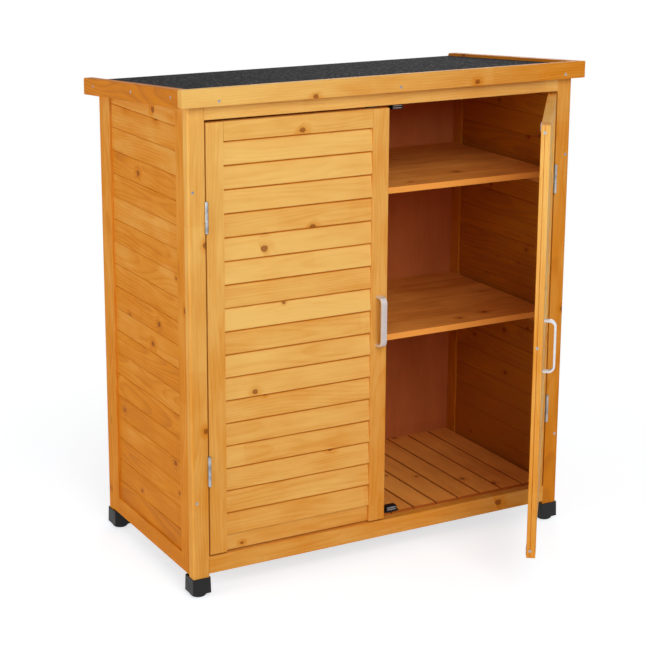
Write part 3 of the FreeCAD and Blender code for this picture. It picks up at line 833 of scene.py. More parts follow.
@dataclass
class ScrewKit:
    """Countersunk cross-head screws and the seats that they need."""

    head_r: float = 3.0
    head_h: float = 1.8
    shank_r: float = 1.5
    shank_len: float = 6.0
    sides: int = 24
    rim: Span = (0.35, -0.12)
    seat_gap: float = 0.35
    recess: float = 1.9
    recess_half: float = 0.42
    recess_deep: float = 1.2
    recess_taper: float = 0.55

    def blank(self, grow: float = 0.0) -> Piece:
        """Builds a screw that points down from the origin.

        Args:
            grow: How much wider than the screw it is, for a seat.

        Returns:
            The screw blank.
        """
        above = PAST if grow else 0.0
        screw = rod((0, 0, -self.head_h), (0, 0, above), self.head_r + grow, self.sides)
        taper(screw, down, (self.shank_r + grow) / (self.head_r + grow))
        push(screw, down, (0, 0, -self.shank_len))
        return screw

    def screw(self) -> Piece:
        """Builds one screw with a cross recess and an eased rim.

        Returns:
            The screw, at the origin.
        """
        screw = self.blank()
        inset(screw, up, *self.rim)
        long, thin = self.recess, self.recess_half
        low, high = -self.recess_deep, PAST
        cross = block((-long, -thin, low), (long, thin, high))
        carve(cross, block((-thin, -long, low), (thin, long, high)), "UNION")
        taper(cross, down, self.recess_taper)
        carve(screw, cross)
        return screw

    @staticmethod
    def facing(spot: Iterable[float], out: Iterable[float]) -> Matrix:
        """Matrix that puts a screw's head at a spot, facing out."""
        turn = Vector(out).to_track_quat("Z", "Y").to_matrix().to_4x4()
        return Matrix.Translation(Vector(spot) * MM) @ turn

    def drive(self, places: list[Matrix]) -> Piece:
        """Drives screws at all these places and returns them as one piece."""
        return joined(copies(self.screw(), places))

    def sink(self, piece: Piece, places: list[Matrix]) -> None:
        """Countersinks a piece at these places."""
        carve(piece, joined(copies(self.blank(self.seat_gap), places)))


@dataclass
class Frames:
    """Front and rear frames: stiles that run down as legs, and rails between them."""

    bench: Bench
    screws: ScrewKit
    half_width: float = 417.0
    front_y: float = -207.5
    corner: float = 4.0
    ease: float = 0.9
    screw_x: float = 408.0
    screw_z: Span = (190.0, 778.0)
    front_tones: tuple[Tone, Tone] = ((0.5, 0.1), (0.95, 0.1))
    rear_tones: tuple[Tone, Tone] = ((0.9, 0.1), (0.9, 0.1))
    top_tone: Tone = (0.55, 0.1)
    bottom_tone: Tone = (0.5, 0.1)

    def screw_places(self, side: int) -> list[Matrix]:
        """Where the screws of one front stile go, side -1 being the left."""
        return [self.screws.facing((side * self.screw_x, self.front_y, z), (0, -1, 0)) for z in self.screw_z]

    def stile(self, end: str, side: int, word: str, tone: Tone) -> None:
        """Builds one stile, rounded on its outer corner and sawn to the roof's slope.

        Args:
            end: front or rear.
            side: -1 on the left, 1 on the right.
            word: left or right.
            tone: Its stain.
        """
        node = f"{end}_stile_{word}"
        low, high = node_box(node)
        piece = block(low, high)
        ROOF.trim(piece)
        outer = edges_at(Way.Z, x=side * self.half_width, y=low.y if end == "front" else high.y)
        round_edges(piece, outer, self.corner, CORNER_STEPS)
        eased(piece, self.ease)
        if end == "front":
            self.screws.sink(piece, self.screw_places(side))
        self.bench.fit_boards(node, [self.bench.grained(piece, Way.Z, tone)])

    def rail(self, node: str, sloped: bool, tone: Tone) -> None:
        """Builds one rail.

        Args:
            node: CAD node of the rail.
            sloped: Whether its top follows the roof.
            tone: Its stain.
        """
        piece = block(*node_box(node))
        if sloped:
            ROOF.trim(piece)
        self.bench.fit_boards(node, [self.bench.grained(eased(piece, self.ease), Way.X, tone)])

    def build(self) -> None:
        """Builds both frames."""
        for end, tones in (("front", self.front_tones), ("rear", self.rear_tones)):
            for (side, word), tone in zip(SIDES, tones):
                self.stile(end, side, word, tone)
            self.rail(f"{end}_rail_top", True, self.top_tone)
            self.rail(f"{end}_rail_bottom", False, self.bottom_tone)


@dataclass
class SidePanels:
    """Side panels: stiles and a bottom rail round tongued, vee-jointed boards."""

    bench: Bench
    outer_x: float = 417.0
    inner_x: float = 399.0
    stile_width: float = 33.0
    front_y: float = -187.5
    rear_y: float = 187.5
    foot_z: float = 42.0
    ease: float = 0.9
    board_outer: float = 412.0
    board_thick: float = 9.0
    board_pitch: float = 45.5
    first_z: float = 70.2
    board_count: int = 20
    vee: float = 1.4
    joint_gap: float = 0.25
    tongue: float = 1.5
    tongue_len: float = 3.5
    # The side panels are coloured deeper than the front: partly a deeper stain, partly painted shade on the
    # sides
    stile_stain_and_shade: Tone = (1.0, 0.1)
    rail_tone: Tone = (0.9, 0.3)
    board_stain_and_shade: Tone = (1.0, 0.22)
    # Painted shade: the inner half of each side board is coloured deeper for the shade inside the cabinet
    inside_shade_tone: float = 0.55

    def stiles(self, side: int, word: str) -> None:
        """Builds the two inner stiles of one side."""
        left, right = sorted((side * self.inner_x, side * self.outer_x))
        pieces = []
        for y in (self.front_y, self.rear_y - self.stile_width):
            stile = block((left, y, self.foot_z), (right, y + self.stile_width, ROOF.front_z))
            ROOF.trim(stile)
            pieces.append(self.bench.grained(eased(stile, self.ease), Way.Z, self.stile_stain_and_shade))
        self.bench.fit_boards(f"side_stiles_{word}", pieces)

    def rail(self, word: str) -> None:
        """Builds the bottom rail of one side."""
        node = f"side_rail_bottom_{word}"
        rail = eased(block(*node_box(node)), self.ease)
        self.bench.fit_boards(node, [self.bench.grained(rail, Way.Y, self.rail_tone)])

    def board(self, low_y: float, high_y: float) -> Piece:
        """Builds one board of the right-hand side, the lowest, with its tongue and groove.

        Args:
            low_y: Its front end.
            high_y: Its rear end.

        Returns:
            The board.
        """
        inner, outer = self.board_outer - self.board_thick, self.board_outer
        top = self.first_z + self.board_pitch - self.joint_gap
        board = block((inner, low_y, self.first_z), (outer, high_y, top))
        round_edges(board, edges_at(Way.Y), self.vee)
        centre = (inner + outer) / 2
        for offset in (-self.tongue, self.tongue):
            saw(board, (centre + offset, 0, 0), (1, 0, 0), keep=True)
        strip = lambda look: lambda middle, normal: near(middle.x, centre) and look(middle, normal)
        push(board, strip(down), (0, 0, self.tongue_len + self.joint_gap))
        push(board, strip(up), (0, 0, self.tongue_len))
        return board

    def boards(self, side: int, word: str) -> None:
        """Lays the boards of one side, the top ones sawn to the roof's slope."""
        node = f"side_boards_{word}"
        low, high = node_box(node)
        hand = UNTURNED if side > 0 else MIRROR
        places = [hand @ moved(z=i * self.board_pitch) for i in range(self.board_count)]
        boards = copies(self.board(low.y, high.y), places)
        for board in boards[-2:]:
            ROOF.trim(board)
        for board in boards:
            self.bench.grained(board, Way.Y, self.board_stain_and_shade)
            # Painted shade on the inner half of the board
            self.bench.deepened(board, self.inside_shade_tone, self.is_inside)
        self.bench.fit_boards(node, boards)

    def is_inside(self, spot: Vector) -> bool:
        """Tells whether a spot of a board lies on its inner half."""
        return abs(spot.x) < self.board_outer - self.board_thick / 2

    def build(self) -> None:
        """Builds both side panels."""
        for side, word in SIDES:
            self.stiles(side, word)
            self.rail(word)
            self.boards(side, word)


@dataclass
class Interior:
    """Back panel, floor, shelves and the timber that carries them."""

    bench: Bench
    back_ease: float = 0.4
    back_tone: Tone = (0.5, 0.3)
    floor_count: int = 15
    floor_gap: float = 2.4
    floor_vee: float = 1.8
    floor_front: float = 3.5
    floor_ease: float = 0.3
    floor_ease_angle: float = 60.0
    floor_tone: Tone = (-0.1, 0.25)
    # Painted shade: the vee joints between floor boards are coloured dark where the gaps lie in shadow
    joint_shade_tone: float = 3.0
    shelf_count: int = 6
    shelf_gap: float = 0.1
    shelf_ease: float = 0.25
    shelf_tone: Tone = (0.45, 0.2)
    # Painted light: the front edge of each shelf board, which faces the lamps, is coloured paler than its top
    shelf_edge: float = 0.1
    shelf_edge_light_tone: float = -0.7
    bearer_width: float = 18.0
    cleat_width: float = 15.0
    cleat_heights: tuple[Span, ...] = ((422.0, 440.0), (713.0, 731.0))
    bar_ease: float = 0.7
    bar_tone: Tone = (0.55, 0.3)
    batten_tone: Tone = (0.5, 0.3)

    def back(self) -> None:
        """Builds the thin back panel."""
        panel = block(*node_box("back_panel"))
        ROOF.trim(panel)
        self.bench.grained(eased(panel, self.back_ease, 1), Way.Z, self.back_tone)
        self.bench.fit(panel, "ply_back_panel", "carcass", Slot.PLYWOOD, "back_panel")

    def floor(self) -> None:
        """Lays the floor boards."""
        low, high = node_box("floor_boards")
        pitch = (high.x - low.x + self.floor_gap) / self.floor_count
        pattern = block(low, (low.x + pitch - self.floor_gap, high.y, high.z))
        round_edges(pattern, edges_at(Way.Y, z=high.z), self.floor_vee)
        round_edges(pattern, edges_at(Way.X, y=low.y, z=high.z), self.floor_front)
        eased(pattern, self.floor_ease, 1, self.floor_ease_angle)
        boards = copies(pattern, [moved(x=i * pitch) for i in range(self.floor_count)])
        for board in boards:
            self.bench.grained(board, Way.Y, self.floor_tone)
            # Painted shade in the vee joints
            self.bench.deepened(board, self.joint_shade_tone, lambda spot: spot.z < high.z - self.floor_vee / 2)
        self.bench.fit_boards("floor_boards", boards, Slot.INNER_FIR)

    def shelf(self, node: str) -> None:
        """Builds one shelf of narrow boards glued edge to edge."""
        low, high = node_box(node)
        pitch = (high.y - low.y + self.shelf_gap) / self.shelf_count
        pattern = eased(block(low, (high.x, low.y + pitch - self.shelf_gap, high.z)), self.shelf_ease)
        boards = copies(pattern, [moved(y=i * pitch) for i in range(self.shelf_count)])
        front = lambda spot: near(spot.y, low.y, self.shelf_edge)
        for board in boards:
            self.bench.grained(board, Way.X, self.shelf_tone)
            # Painted light on the shelf fronts
            self.bench.deepened(board, self.shelf_edge_light_tone, front)
        self.bench.fit_boards(node, boards, Slot.INNER_FIR)

    def bars(self, node: str, ends: list[tuple[Vector, Vector]], way: Way) -> None:
        """Builds plain bars that make one node.

        Args:
            node: The CAD node.
            ends: Lowest and highest corner of each bar.
            way: Direction of their grain.
        """
        bars = [eased(block(low, high), self.bar_ease) for low, high in ends]
        for bar in bars:
            self.bench.grained(bar, way, self.bar_tone)
        self.bench.fit_boards(node, bars, Slot.INNER_FIR)

    def build(self) -> None:
        """Builds everything inside the carcass."""
        self.back()
        self.floor()
        self.shelf("shelf_lower")
        self.shelf("shelf_upper")
        low, high = node_box("floor_bearers")
        front = (low, Vector((high.x, low.y + self.bearer_width, high.z)))
        rear = (Vector((low.x, high.y - self.bearer_width, low.z)), high)
        self.bars("floor_bearers", [front, rear], Way.X)
        low, high = node_box("shelf_cleats")
        cleats = [(Vector((x, low.y, foot)), Vector((x + self.cleat_width, high.y, top)))
                  for foot, top in self.cleat_heights for x in (low.x, high.x - self.cleat_width)]
        self.bars("shelf_cleats", cleats, Way.Y)
        batten = block(*node_box("roof_batten_front"))
        ROOF.trim(batten)
        self.bench.grained(eased(batten, self.bar_ease), Way.X, self.batten_tone)
        self.bench.fit_boards("roof_batten_front", [batten])


@dataclass
class Roof:
    """Roof board, felt, and the fascias round it."""

    bench: Bench
    screws: ScrewKit
    front_x: tuple[float, float, float] = (-363.0, 11.0, 388.0)
    front_screw_z: float = 941.0
    front_tone: Tone = (0.75, 0.0)
    # The front fascia darkens towards its right end: partly a deeper stain, partly painted shade where the
    # light falls off
    front_drift_and_shade: float = 0.7
    side_y: tuple[float, float, float] = (-177.5, 2.5, 190.5)
    side_drop: float = 15.0
    # The side fascias are coloured deeper than the front one: partly a deeper stain, partly painted shade on
    # the sides
    side_stain_and_shade: Tone = (1.55, 0.1)
    fascia_x: float = 435.0
    fascia_height: float = 33.0
    corner: float = 5.0
    ease: float = 1.0
    sheet_ease: float = 0.6
    sheet_tone: Tone = (0.5, 0.3)

    def front_places(self) -> list[Matrix]:
        """Where the screws of the front fascia go."""
        return [self.screws.facing((x, ROOF.front_y, self.front_screw_z), (0, -1, 0)) for x in self.front_x]

    def side_places(self, side: int) -> list[Matrix]:
        """Where the screws of one side fascia go, side -1 being the left."""
        spots = [(side * self.fascia_x, y, ROOF.height(y) - self.side_drop) for y in self.side_y]
        return [self.screws.facing(spot, (side, 0, 0)) for spot in spots]

    def front_fascia(self) -> None:
        """Builds the front fascia."""
        piece = block(*node_box("fascia_front"))
        ROOF.saw_top(piece)
        eased(piece, self.ease)
        self.screws.sink(piece, self.front_places())
        # Deeper towards the right end: stain and painted shade
        self.bench.grained(piece, Way.X, self.front_tone, self.front_drift_and_shade)
        self.bench.fit_boards("fascia_front", [piece])

    def side_fascia(self, side: int, word: str) -> None:
        """Builds one side fascia, with its rear top corner rounded."""
        node = f"fascia_{word}"
        low, high = node_box(node)
        piece = block(low, high)
        ROOF.saw_top(piece)
        ROOF.saw_bottom(piece, self.fascia_height)
        rear_top = edges_at(Way.X, y=high.y, z=ROOF.height(high.y))
        round_edges(piece, rear_top, self.corner, CORNER_STEPS)
        eased(piece, self.ease)
        self.screws.sink(piece, self.side_places(side))
        self.bench.fit_boards(node, [self.bench.grained(piece, Way.Y, self.side_stain_and_shade)])

    def sheet(self, node: str, name: str, drop: float, thick: float, slot: Slot) -> None:
        """Builds the roof board or the felt.

        Args:
            node: The CAD node.
            name: Name of the piece.
            drop: How far its top lies below the fascia tops.
            thick: Its thickness.
            slot: Slot that it takes its finish from.
        """
        piece = block(*node_box(node))
        ROOF.saw_top(piece, drop)
        ROOF.saw_bottom(piece, drop + thick)
        self.bench.grained(eased(piece, self.sheet_ease), Way.X, self.sheet_tone)
        self.bench.fit(piece, name, "carcass", slot, node)

    def build(self) -> None:
        """Builds the roof."""
        self.sheet("roof_board", "ply_roof_board", ROOF.felt_sink + ROOF.felt, ROOF.board, Slot.PLYWOOD)
        self.sheet("roof_felt", "felt_roof_covering", ROOF.felt_sink, ROOF.felt, Slot.ROOF_FELT)
        self.front_fascia()
        for side, word in SIDES:
            self.side_fascia(side, word)


@dataclass
class Feet:
    """Plastic caps on the four legs, and the levelling glides in them."""

    bench: Bench
    flare: float = 0.8
    wall: float = 2.0
    corner: float = 2.6
    outer_reach: float = 1.2
    socket: float = 17.0
    ease: float = 0.5
    glide_r: float = 16.0
    glide_foot_r: float = 13.0
    glide_sides: int = 48
    glide_bevel: float = 3.0
    glide_top: float = 7.7
    glide_dish: Span = (2.5, -0.4)
    stem_r: float = 4.0
    stem_top: float = 21.0

    def cap(self, node: str) -> None:
        """Builds one cap: a tapered shoe with a socket for the leg."""
        low, high = node_box(node)
        middle, size = (low + high) / 2, high - low
        piece = block(low, high)
        with editing(piece, faces=up):
            narrow = (1 - 2 * self.flare / size.x, 1 - 2 * self.flare / size.y, 1)
            bpy.ops.transform.resize(value=narrow, center_override=middle * MM)
        draw(piece, up, self.wall, (0, 0, -self.socket))
        outer = lambda spot, run: Way.Z.along(run) and abs(spot.x - middle.x) > size.x / 2 - self.outer_reach
        round_edges(piece, outer, self.corner, CORNER_STEPS)
        self.bench.fit(eased(piece, self.ease), f"plastic_{node}", "carcass", Slot.BLACK_PLASTIC, node)

    def glide(self, node: str, body: str) -> None:
        """Builds one levelling glide: a bevelled foot on a stem.

        Args:
            node: The CAD node.
            body: The body that it rides on.
        """
        low, high = node_box(node)
        x, y = (low.x + high.x) / 2, (low.y + high.y) / 2
        piece = rod((x, y, self.glide_bevel), (x, y, self.glide_top), self.glide_r, self.glide_sides)
        push(piece, down, (0, 0, -self.glide_bevel))
        taper(piece, down, self.glide_foot_r / self.glide_r, (x, y, 0))
        inset(piece, down, *self.glide_dish)
        draw(piece, up, self.glide_r - self.stem_r, (0, 0, self.stem_top - self.glide_top))
        self.bench.fit(eased(piece, self.ease), f"plastic_{node}", body, Slot.BLACK_PLASTIC, node)

    def build(self) -> None:
        """Builds the four feet."""
        for end in ("front", "rear"):
            for _, word in SIDES:
                self.cap(f"foot_cap_{end}_{word}")
                self.glide(f"levelling_glide_{end}_{word}", f"glide_{end}_{word}")


@dataclass
class Hinges:
    """Butt hinges, drawn for the left door: leaves in the gap and a rolled knuckle in front."""

    bench: Bench
    screws: ScrewKit
    axis: Span = (-382.75, -210.9)
    centres: Span = (250.0, 731.0)
    length: float = 58.0
    leaf_thick: float = 1.0
    leaf_y: Span = (-207.2, -193.5)
    leaf_ease: float = 0.3
    frame_leaf_x: float = -384.0
    door_leaf_x: float = -382.5
    web_lap: float = 0.5
    knuckle_r: float = 3.2
    knuckle_sides: int = 28
    knuckle_ease: float = 0.35
    knuckle_gap: float = 0.3
    pin_r: float = 1.5
    pin_sides: int = 20
    pin_ease: float = 0.5
    pin_room: float = 0.05
    screw_y: float = -199.5
    screw_spread: float = 20.0
    screw_sink: float = 0.05

    def leaf(self, plate_x: float, spans: Iterable[Span]) -> Piece:
        """Builds one leaf about height 0, its knuckles rolled round the pin.

        Args:
            plate_x: Left face of the plate.
            spans: Lower and upper end of each knuckle.

        Returns:
            The leaf.
        """
        x, y = self.axis
        half, right = self.length / 2, plate_x + self.leaf_thick
        front, rear = self.leaf_y
        leaf = eased(block((plate_x, front, -half), (right, rear, half)), self.leaf_ease)
        for low, high in spans:
            carve(leaf, block((plate_x, y, low), (right, front + self.web_lap, high)), "UNION")
            knuckle = rod((x, y, low), (x, y, high), self.knuckle_r, self.knuckle_sides)
            carve(leaf, eased(knuckle, self.knuckle_ease), "UNION")
        end = half + PAST
        carve(leaf, rod((x, y, -end), (x, y, end), self.pin_r + self.pin_room, self.pin_sides))
        return leaf

    def pin(self) -> Piece:
        """Builds one pin about height 0, domed at both ends."""
        x, y = self.axis
        half = self.length / 2
        return eased(rod((x, y, -half), (x, y, half), self.pin_r, self.pin_sides), self.pin_ease, 3)

    def hung(self, pattern: Piece, hands: list[Matrix]) -> Piece:
        """Copies a part about height 0 to both hinge heights, for each hand, and returns the set."""
        return joined(copies(pattern, [hand @ moved(z=z) for hand in hands for z in self.centres]))

    def build_frame_side(self) -> None:
        """Builds what stays on the carcass: frame leaves, pins and leaf screws."""
        half, third = self.length / 2, self.length / 3
        hands = [UNTURNED, MIRROR]
        leaf = self.leaf(self.frame_leaf_x, ((-half, -half + third), (half - third, half)))
        leaves = self.hung(leaf, hands)
        self.bench.fit(leaves, "steel_hinge_frame_leaves", "carcass", Slot.ZINC_STEEL, "hinge_frame_leaves")
        pins = self.hung(self.pin(), hands)
        self.bench.fit(pins, "steel_hinge_pins", "carcass", Slot.ZINC_STEEL, "hinge_pins")
        face = self.frame_leaf_x + self.leaf_thick
        self.leaf_screws("steel_hinge_frame_screws", face, 1, hands, "carcass")

    def build_door_side(self, hand: Matrix, word: str) -> None:
        """Builds what swings with one door: its leaves and their screws.

        Args:
            hand: Where that door is, from the left door closed.
            word: left or right.
        """
        node = f"{word}_door_hinge_leaves"
        half = self.length / 6 - self.knuckle_gap
        leaves = self.hung(self.leaf(self.door_leaf_x, ((-half, half),)), [hand])
        self.bench.fit(leaves, f"steel_{node}", f"{word}_door", Slot.ZINC_STEEL, node)
        self.leaf_screws(f"steel_{word}_door_hinge_screws", self.door_leaf_x, -1, [hand], f"{word}_door")

    def leaf_screws(self, name: str, x: float, out: int, hands: list[Matrix], body: str) -> None:
        """Drives three small screws through each leaf.

        Args:
            name: Name of the set.
            x: Face of the leaf that the heads lie in.
            out: 1 where they face right, -1 where they face left.
            hands: Where the door or side of each leaf is.
            body: Body that they ride on.
        """
        spots = [(x - out * self.screw_sink, self.screw_y, z + k * self.screw_spread)
                 for z in self.centres for k in (-1, 0, 1)]
        places = [hand @ self.screws.facing(spot, (out, 0, 0)) for hand in hands for spot in spots]
        self.bench.fit(self.screws.drive(places), name, body, Slot.ZINC_STEEL)


@dataclass
class Door:
    """One louvred door, drawn as the left one, closed, and then hung where it belongs."""

    bench: Bench
    screws: ScrewKit
    hinges: Hinges
    word: str
    front_y: float = -207.5
    thick: float = 17.0
    ease: float = 1.0
    hinge_stile_tone: Tone = (0.46, 0.1)
    lock_stile_tone: Tone = (0.55, 0.1)
    rail_tone: Tone = (0.5, 0.3)
    # Painted shade: the back faces of the door's timber are coloured deeper
    back_tone: float = 0.6
    slat_count: int = 17
    slat_low: float = 115.0
    slat_high: float = 866.0
    slat_lap: float = 8.0
    slat_thick: float = 5.5
    slat_sink: float = 1.2
    slat_edge: float = 2.5
    slat_edge_steps: int = 5
    slat_ease: float = 0.5
    slat_tone: Tone = (0.2, 0.5)
    # Under each lap the slat is coloured deeper: partly stain gathered in the joint, partly painted shade
    # under the next slat
    seam: Span = (4.2, 1.8)
    lap_stain_and_shade: float = 1.5
    housing: float = 5.0
    fit_gap: float = 0.15
    groove_y: float = -197.5
    groove_half: float = 0.8
    groove_deep: float = 1.8
    handle_z: float = 491.5
    handle_x: float = -21.5
    handle_strip: float = 4.0
    handle_bends: Span = (13.0, 9.0)
    bend_steps: int = 8
    handle_ease: float = 0.9
    handle_screw_spread: float = 48.0
    edge_screw_z: tuple[float, float, float] = (96.0, 491.5, 887.0)
    strike_z: tuple[Span, ...] = ((83.5, 95.5), (887.5, 899.5))
    strike_corner: float = 1.5
    strike_ease: float = 0.25
    dimple_r: float = 1.6
    dimple_sides: int = 20
    dimple_deep: float = 0.4
    dimple_spread: float = 9.5

    def hand(self) -> Matrix:
        """Matrix from the left door, closed, to where this door rests."""
        if self.word == "left":
            return UNTURNED
        joint = next(joint for joint in frame["joints"] if joint["child"] == "right_door")
        pin = Matrix.Translation(joint["pos_m"])
        opened = math.radians(-joint["range_deg"][0])
        return pin @ Matrix.Rotation(opened, 4, "Z") @ pin.inverted() @ MIRROR

    def hang(self, pieces: list[Piece], stuff: str, part: str, slot: Slot = Slot.STAINED_FIR) -> None:
        """Puts pieces on this door.

        Args:
            pieces: The pieces of one part, drawn as on the left door.
            stuff: What they are made of.
            part: Name of the part.
            slot: Slot that they take their finish from.
        """
        node = f"{self.word}_door_{part}"
        whole = joined(pieces)
        # Painted shade on the back faces
        if slot is Slot.STAINED_FIR:
            rear = self.front_y + self.thick - self.ease / 2
            self.bench.deepened(whole, self.back_tone, lambda spot: spot.y > rear)
        self.bench.fit(put(whole, self.hand()), f"{stuff}_{node}", f"{self.word}_door", slot, node)

    def box(self, part: str) -> tuple[Vector, Vector]:
        """Corners of a part of the left door."""
        return node_box(f"left_door_{part}")

    def pitch(self) -> float:
        """Height from one slat to the next."""
        return (self.slat_high - self.slat_low) / self.slat_count

    def lean(self) -> float:
        """How far back a slat leans for every millimetre of its height."""
        return self.slat_thick / self.pitch()

    def slat_blank(self, low_x: float, high_x: float, grow: float = 0.0) -> Piece:
        """Builds the lowest slat, tipped back.

        Args:
            low_x: Its left end.
            high_x: Its right end.
            grow: How much it is grown all round, for a housing.

        Returns:
            The slat with sharp edges.
        """
        tall = self.pitch() + self.slat_lap
        y, z = self.front_y + self.slat_sink, self.slat_low
        slat = block((low_x, y - grow, z - grow), (high_x, y + self.slat_thick + grow, z + tall + grow))
        with editing(slat, faces=up):
            bpy.ops.transform.translate(value=(0, self.lean() * tall * MM, 0))
        return slat

    def one_above_another(self, slat: Piece) -> list[Piece]:
        """Copies the lowest slat or housing to the height of every slat."""
        return copies(slat, [moved(z=i * self.pitch()) for i in range(self.slat_count)])

    def behind(self, spot: Vector, foot: float) -> bool:
        """Tells whether a spot lies on the back of the slat whose lower edge is at this height."""
        middle = self.front_y + self.slat_sink + self.slat_thick / 2
        return spot.y - middle > self.lean() * (spot.z - foot)

    def under_lap(self, spot: Vector, foot: float) -> bool:
        """Tells whether a spot lies on a slat's front where the next slat laps over it."""
        return spot.z - foot > self.pitch() - sum(self.seam) / 2 and not self.behind(spot, foot)

    def slats(self) -> None:
        """Builds the slats, modelled once."""
        low, high = self.box("slats")
        pattern = self.slat_blank(low.x, high.x)
        lower_front = edges_at(Way.X, y=self.front_y + self.slat_sink, z=self.slat_low)
        round_edges(pattern, lower_front, self.slat_edge, self.slat_edge_steps)
        eased(pattern, self.slat_ease)
        for below in self.seam:
            saw(pattern, (0, 0, self.slat_low + self.pitch() - below), (0, 0, 1), keep=True)
        slats = self.one_above_another(pattern)
        for i, slat in enumerate(slats):
            foot = self.slat_low + i * self.pitch()
            self.bench.grained(slat, Way.X, self.slat_tone)
            # Deeper under the lap: stain in the joint and painted shade
            self.bench.deepened(slat, self.lap_stain_and_shade, lambda spot: self.under_lap(spot, foot))
            # Painted shade on the slat backs
            self.bench.deepened(slat, self.back_tone, lambda spot: self.behind(spot, foot))
        self.hang(slats, "timber", "slats")

    def stile(self, part: str, inner_x: float, groove_x: float, tone: Tone) -> None:
        """Builds one stile with its slat housings and edge groove.

        Args:
            part: Name of the part.
            inner_x: Its face towards the slats.
            groove_x: Its face with the groove.
            tone: Its stain.
        """
        low, high = self.box(part)
        stile = eased(block(low, high), self.ease)
        inward = 1 if groove_x > inner_x else -1
        ends = sorted((inner_x + inward * self.housing, inner_x - inward * PAST))
        carve(stile, joined(self.one_above_another(self.slat_blank(*ends, self.fit_gap))))
        ends = ((groove_x, self.groove_y, z) for z in (low.z - PAST, high.z + PAST))
        groove = rod(*ends, radius=1.0, sides=4)
        middle = moved(groove_x, self.groove_y)
        put(groove, middle @ Matrix.Diagonal((self.groove_deep, self.groove_half, 1, 1)) @ middle.inverted())
        carve(stile, groove)
        if part == "lock_stile":
            self.screws.sink(stile, self.edge_places() + self.handle_places())
        self.hang([self.bench.grained(stile, Way.Z, tone)], "timber", part)

    def rails(self) -> None:
        """Builds the top rail, rebated behind, and the bottom rail, bevelled like a slat."""
        low, high = self.box("top_rail")
        rail = eased(block(low, high), self.ease)
        rebate_y = self.front_y + self.slat_sink + self.slat_thick - self.fit_gap
        rebate_z = self.slat_high + self.slat_lap + self.fit_gap
        foot, head = (low.x - PAST, rebate_y, low.z - PAST), (high.x + PAST, high.y + PAST, rebate_z)
        carve(rail, block(foot, head))
        self.hang([self.bench.grained(rail, Way.X, self.rail_tone)], "timber", "top_rail")
        low, high = self.box("bottom_rail")
        rail = block(low, high)
        saw(rail, (0, low.y, self.slat_low), (0, -1, self.lean()))
        self.bench.grained(eased(rail, self.ease), Way.X, self.rail_tone)
        self.hang([rail], "timber", "bottom_rail")

    def handle(self) -> None:
        """Builds the bow handle: a flat strip pulled up and back, its bends rounded."""
        low, high = self.box("handle")
        strip = self.handle_strip
        bow = block(low, (high.x, high.y, low.z + strip))
        saw(bow, (0, low.y + strip, 0), (0, 1, 0), keep=True)
        grip = lambda middle, normal: up(middle, normal) and middle.y < low.y + strip
        push(bow, grip, (0, 0, high.z - low.z - 2 * strip))
        push(bow, grip, (0, 0, strip))
        back = lambda middle, normal: normal.y > SQUARE and middle.z > high.z - strip
        push(bow, back, (0, high.y - low.y - strip, 0))
        with editing(bow):
            bpy.ops.mesh.dissolve_limited(angle_limit=math.radians(1))
        for size, deep in zip(self.handle_bends, (0.0, strip)):
            bends = [edges_at(Way.X, y=low.y + deep, z=z) for z in (low.z + deep, high.z - deep)]
            round_edges(bow, lambda *edge: any(bend(*edge) for bend in bends), size, self.bend_steps)
        self.hang([eased(bow, self.handle_ease, 3)], "chrome", "handle", Slot.SATIN_CHROME)

    def edge_places(self) -> list[Matrix]:
        """Where the screws in the free edge go."""
        _, high = self.box("lock_stile")
        return [self.screws.facing((high.x, self.groove_y, z), (1, 0, 0)) for z in self.edge_screw_z]

    def handle_places(self) -> list[Matrix]:
        """Where the screws that hold the handle go, on the inside."""
        rear, spread = self.front_y + self.thick, self.handle_screw_spread
        heights = (self.handle_z - spread, self.handle_z + spread)
        return [self.screws.facing((self.handle_x, rear, z), (0, 1, 0)) for z in heights]

    def strikes(self) -> None:
        """Builds the strike plates, each with two dimpled rivets."""
        low, high = self.box("strike_plates")
        plates = []
        for low_z, high_z in self.strike_z:
            plate = block((low.x, low.y, low_z), (high.x, high.y, high_z))
            round_edges(plate, edges_at(Way.Y), self.strike_corner, CORNER_STEPS)
            eased(plate, self.strike_ease)
            z = (low_z + high_z) / 2
            for k in (-1, 1):
                x = (low.x + high.x) / 2 + k * self.dimple_spread
                foot, head = (x, high.y - self.dimple_deep, z), (x, high.y + PAST, z)
                carve(plate, rod(foot, head, self.dimple_r, self.dimple_sides))
            plates.append(plate)
        self.hang(plates, "steel", "strike_plates", Slot.ZINC_STEEL)

    def build(self) -> None:
        """Builds the door and hangs it."""
        low, high = self.box("hinge_stile")
        self.stile("hinge_stile", high.x, low.x, self.hinge_stile_tone)
        low, high = self.box("lock_stile")
        self.stile("lock_stile", low.x, high.x, self.lock_stile_tone)
        self.rails()
        self.slats()
        self.handle()
        self.strikes()
        screws = self.screws.drive(self.edge_places() + self.handle_places())
        self.hang([screws], "steel", "screws", Slot.ZINC_STEEL)
        self.hinges.build_door_side(self.hand(), self.word)


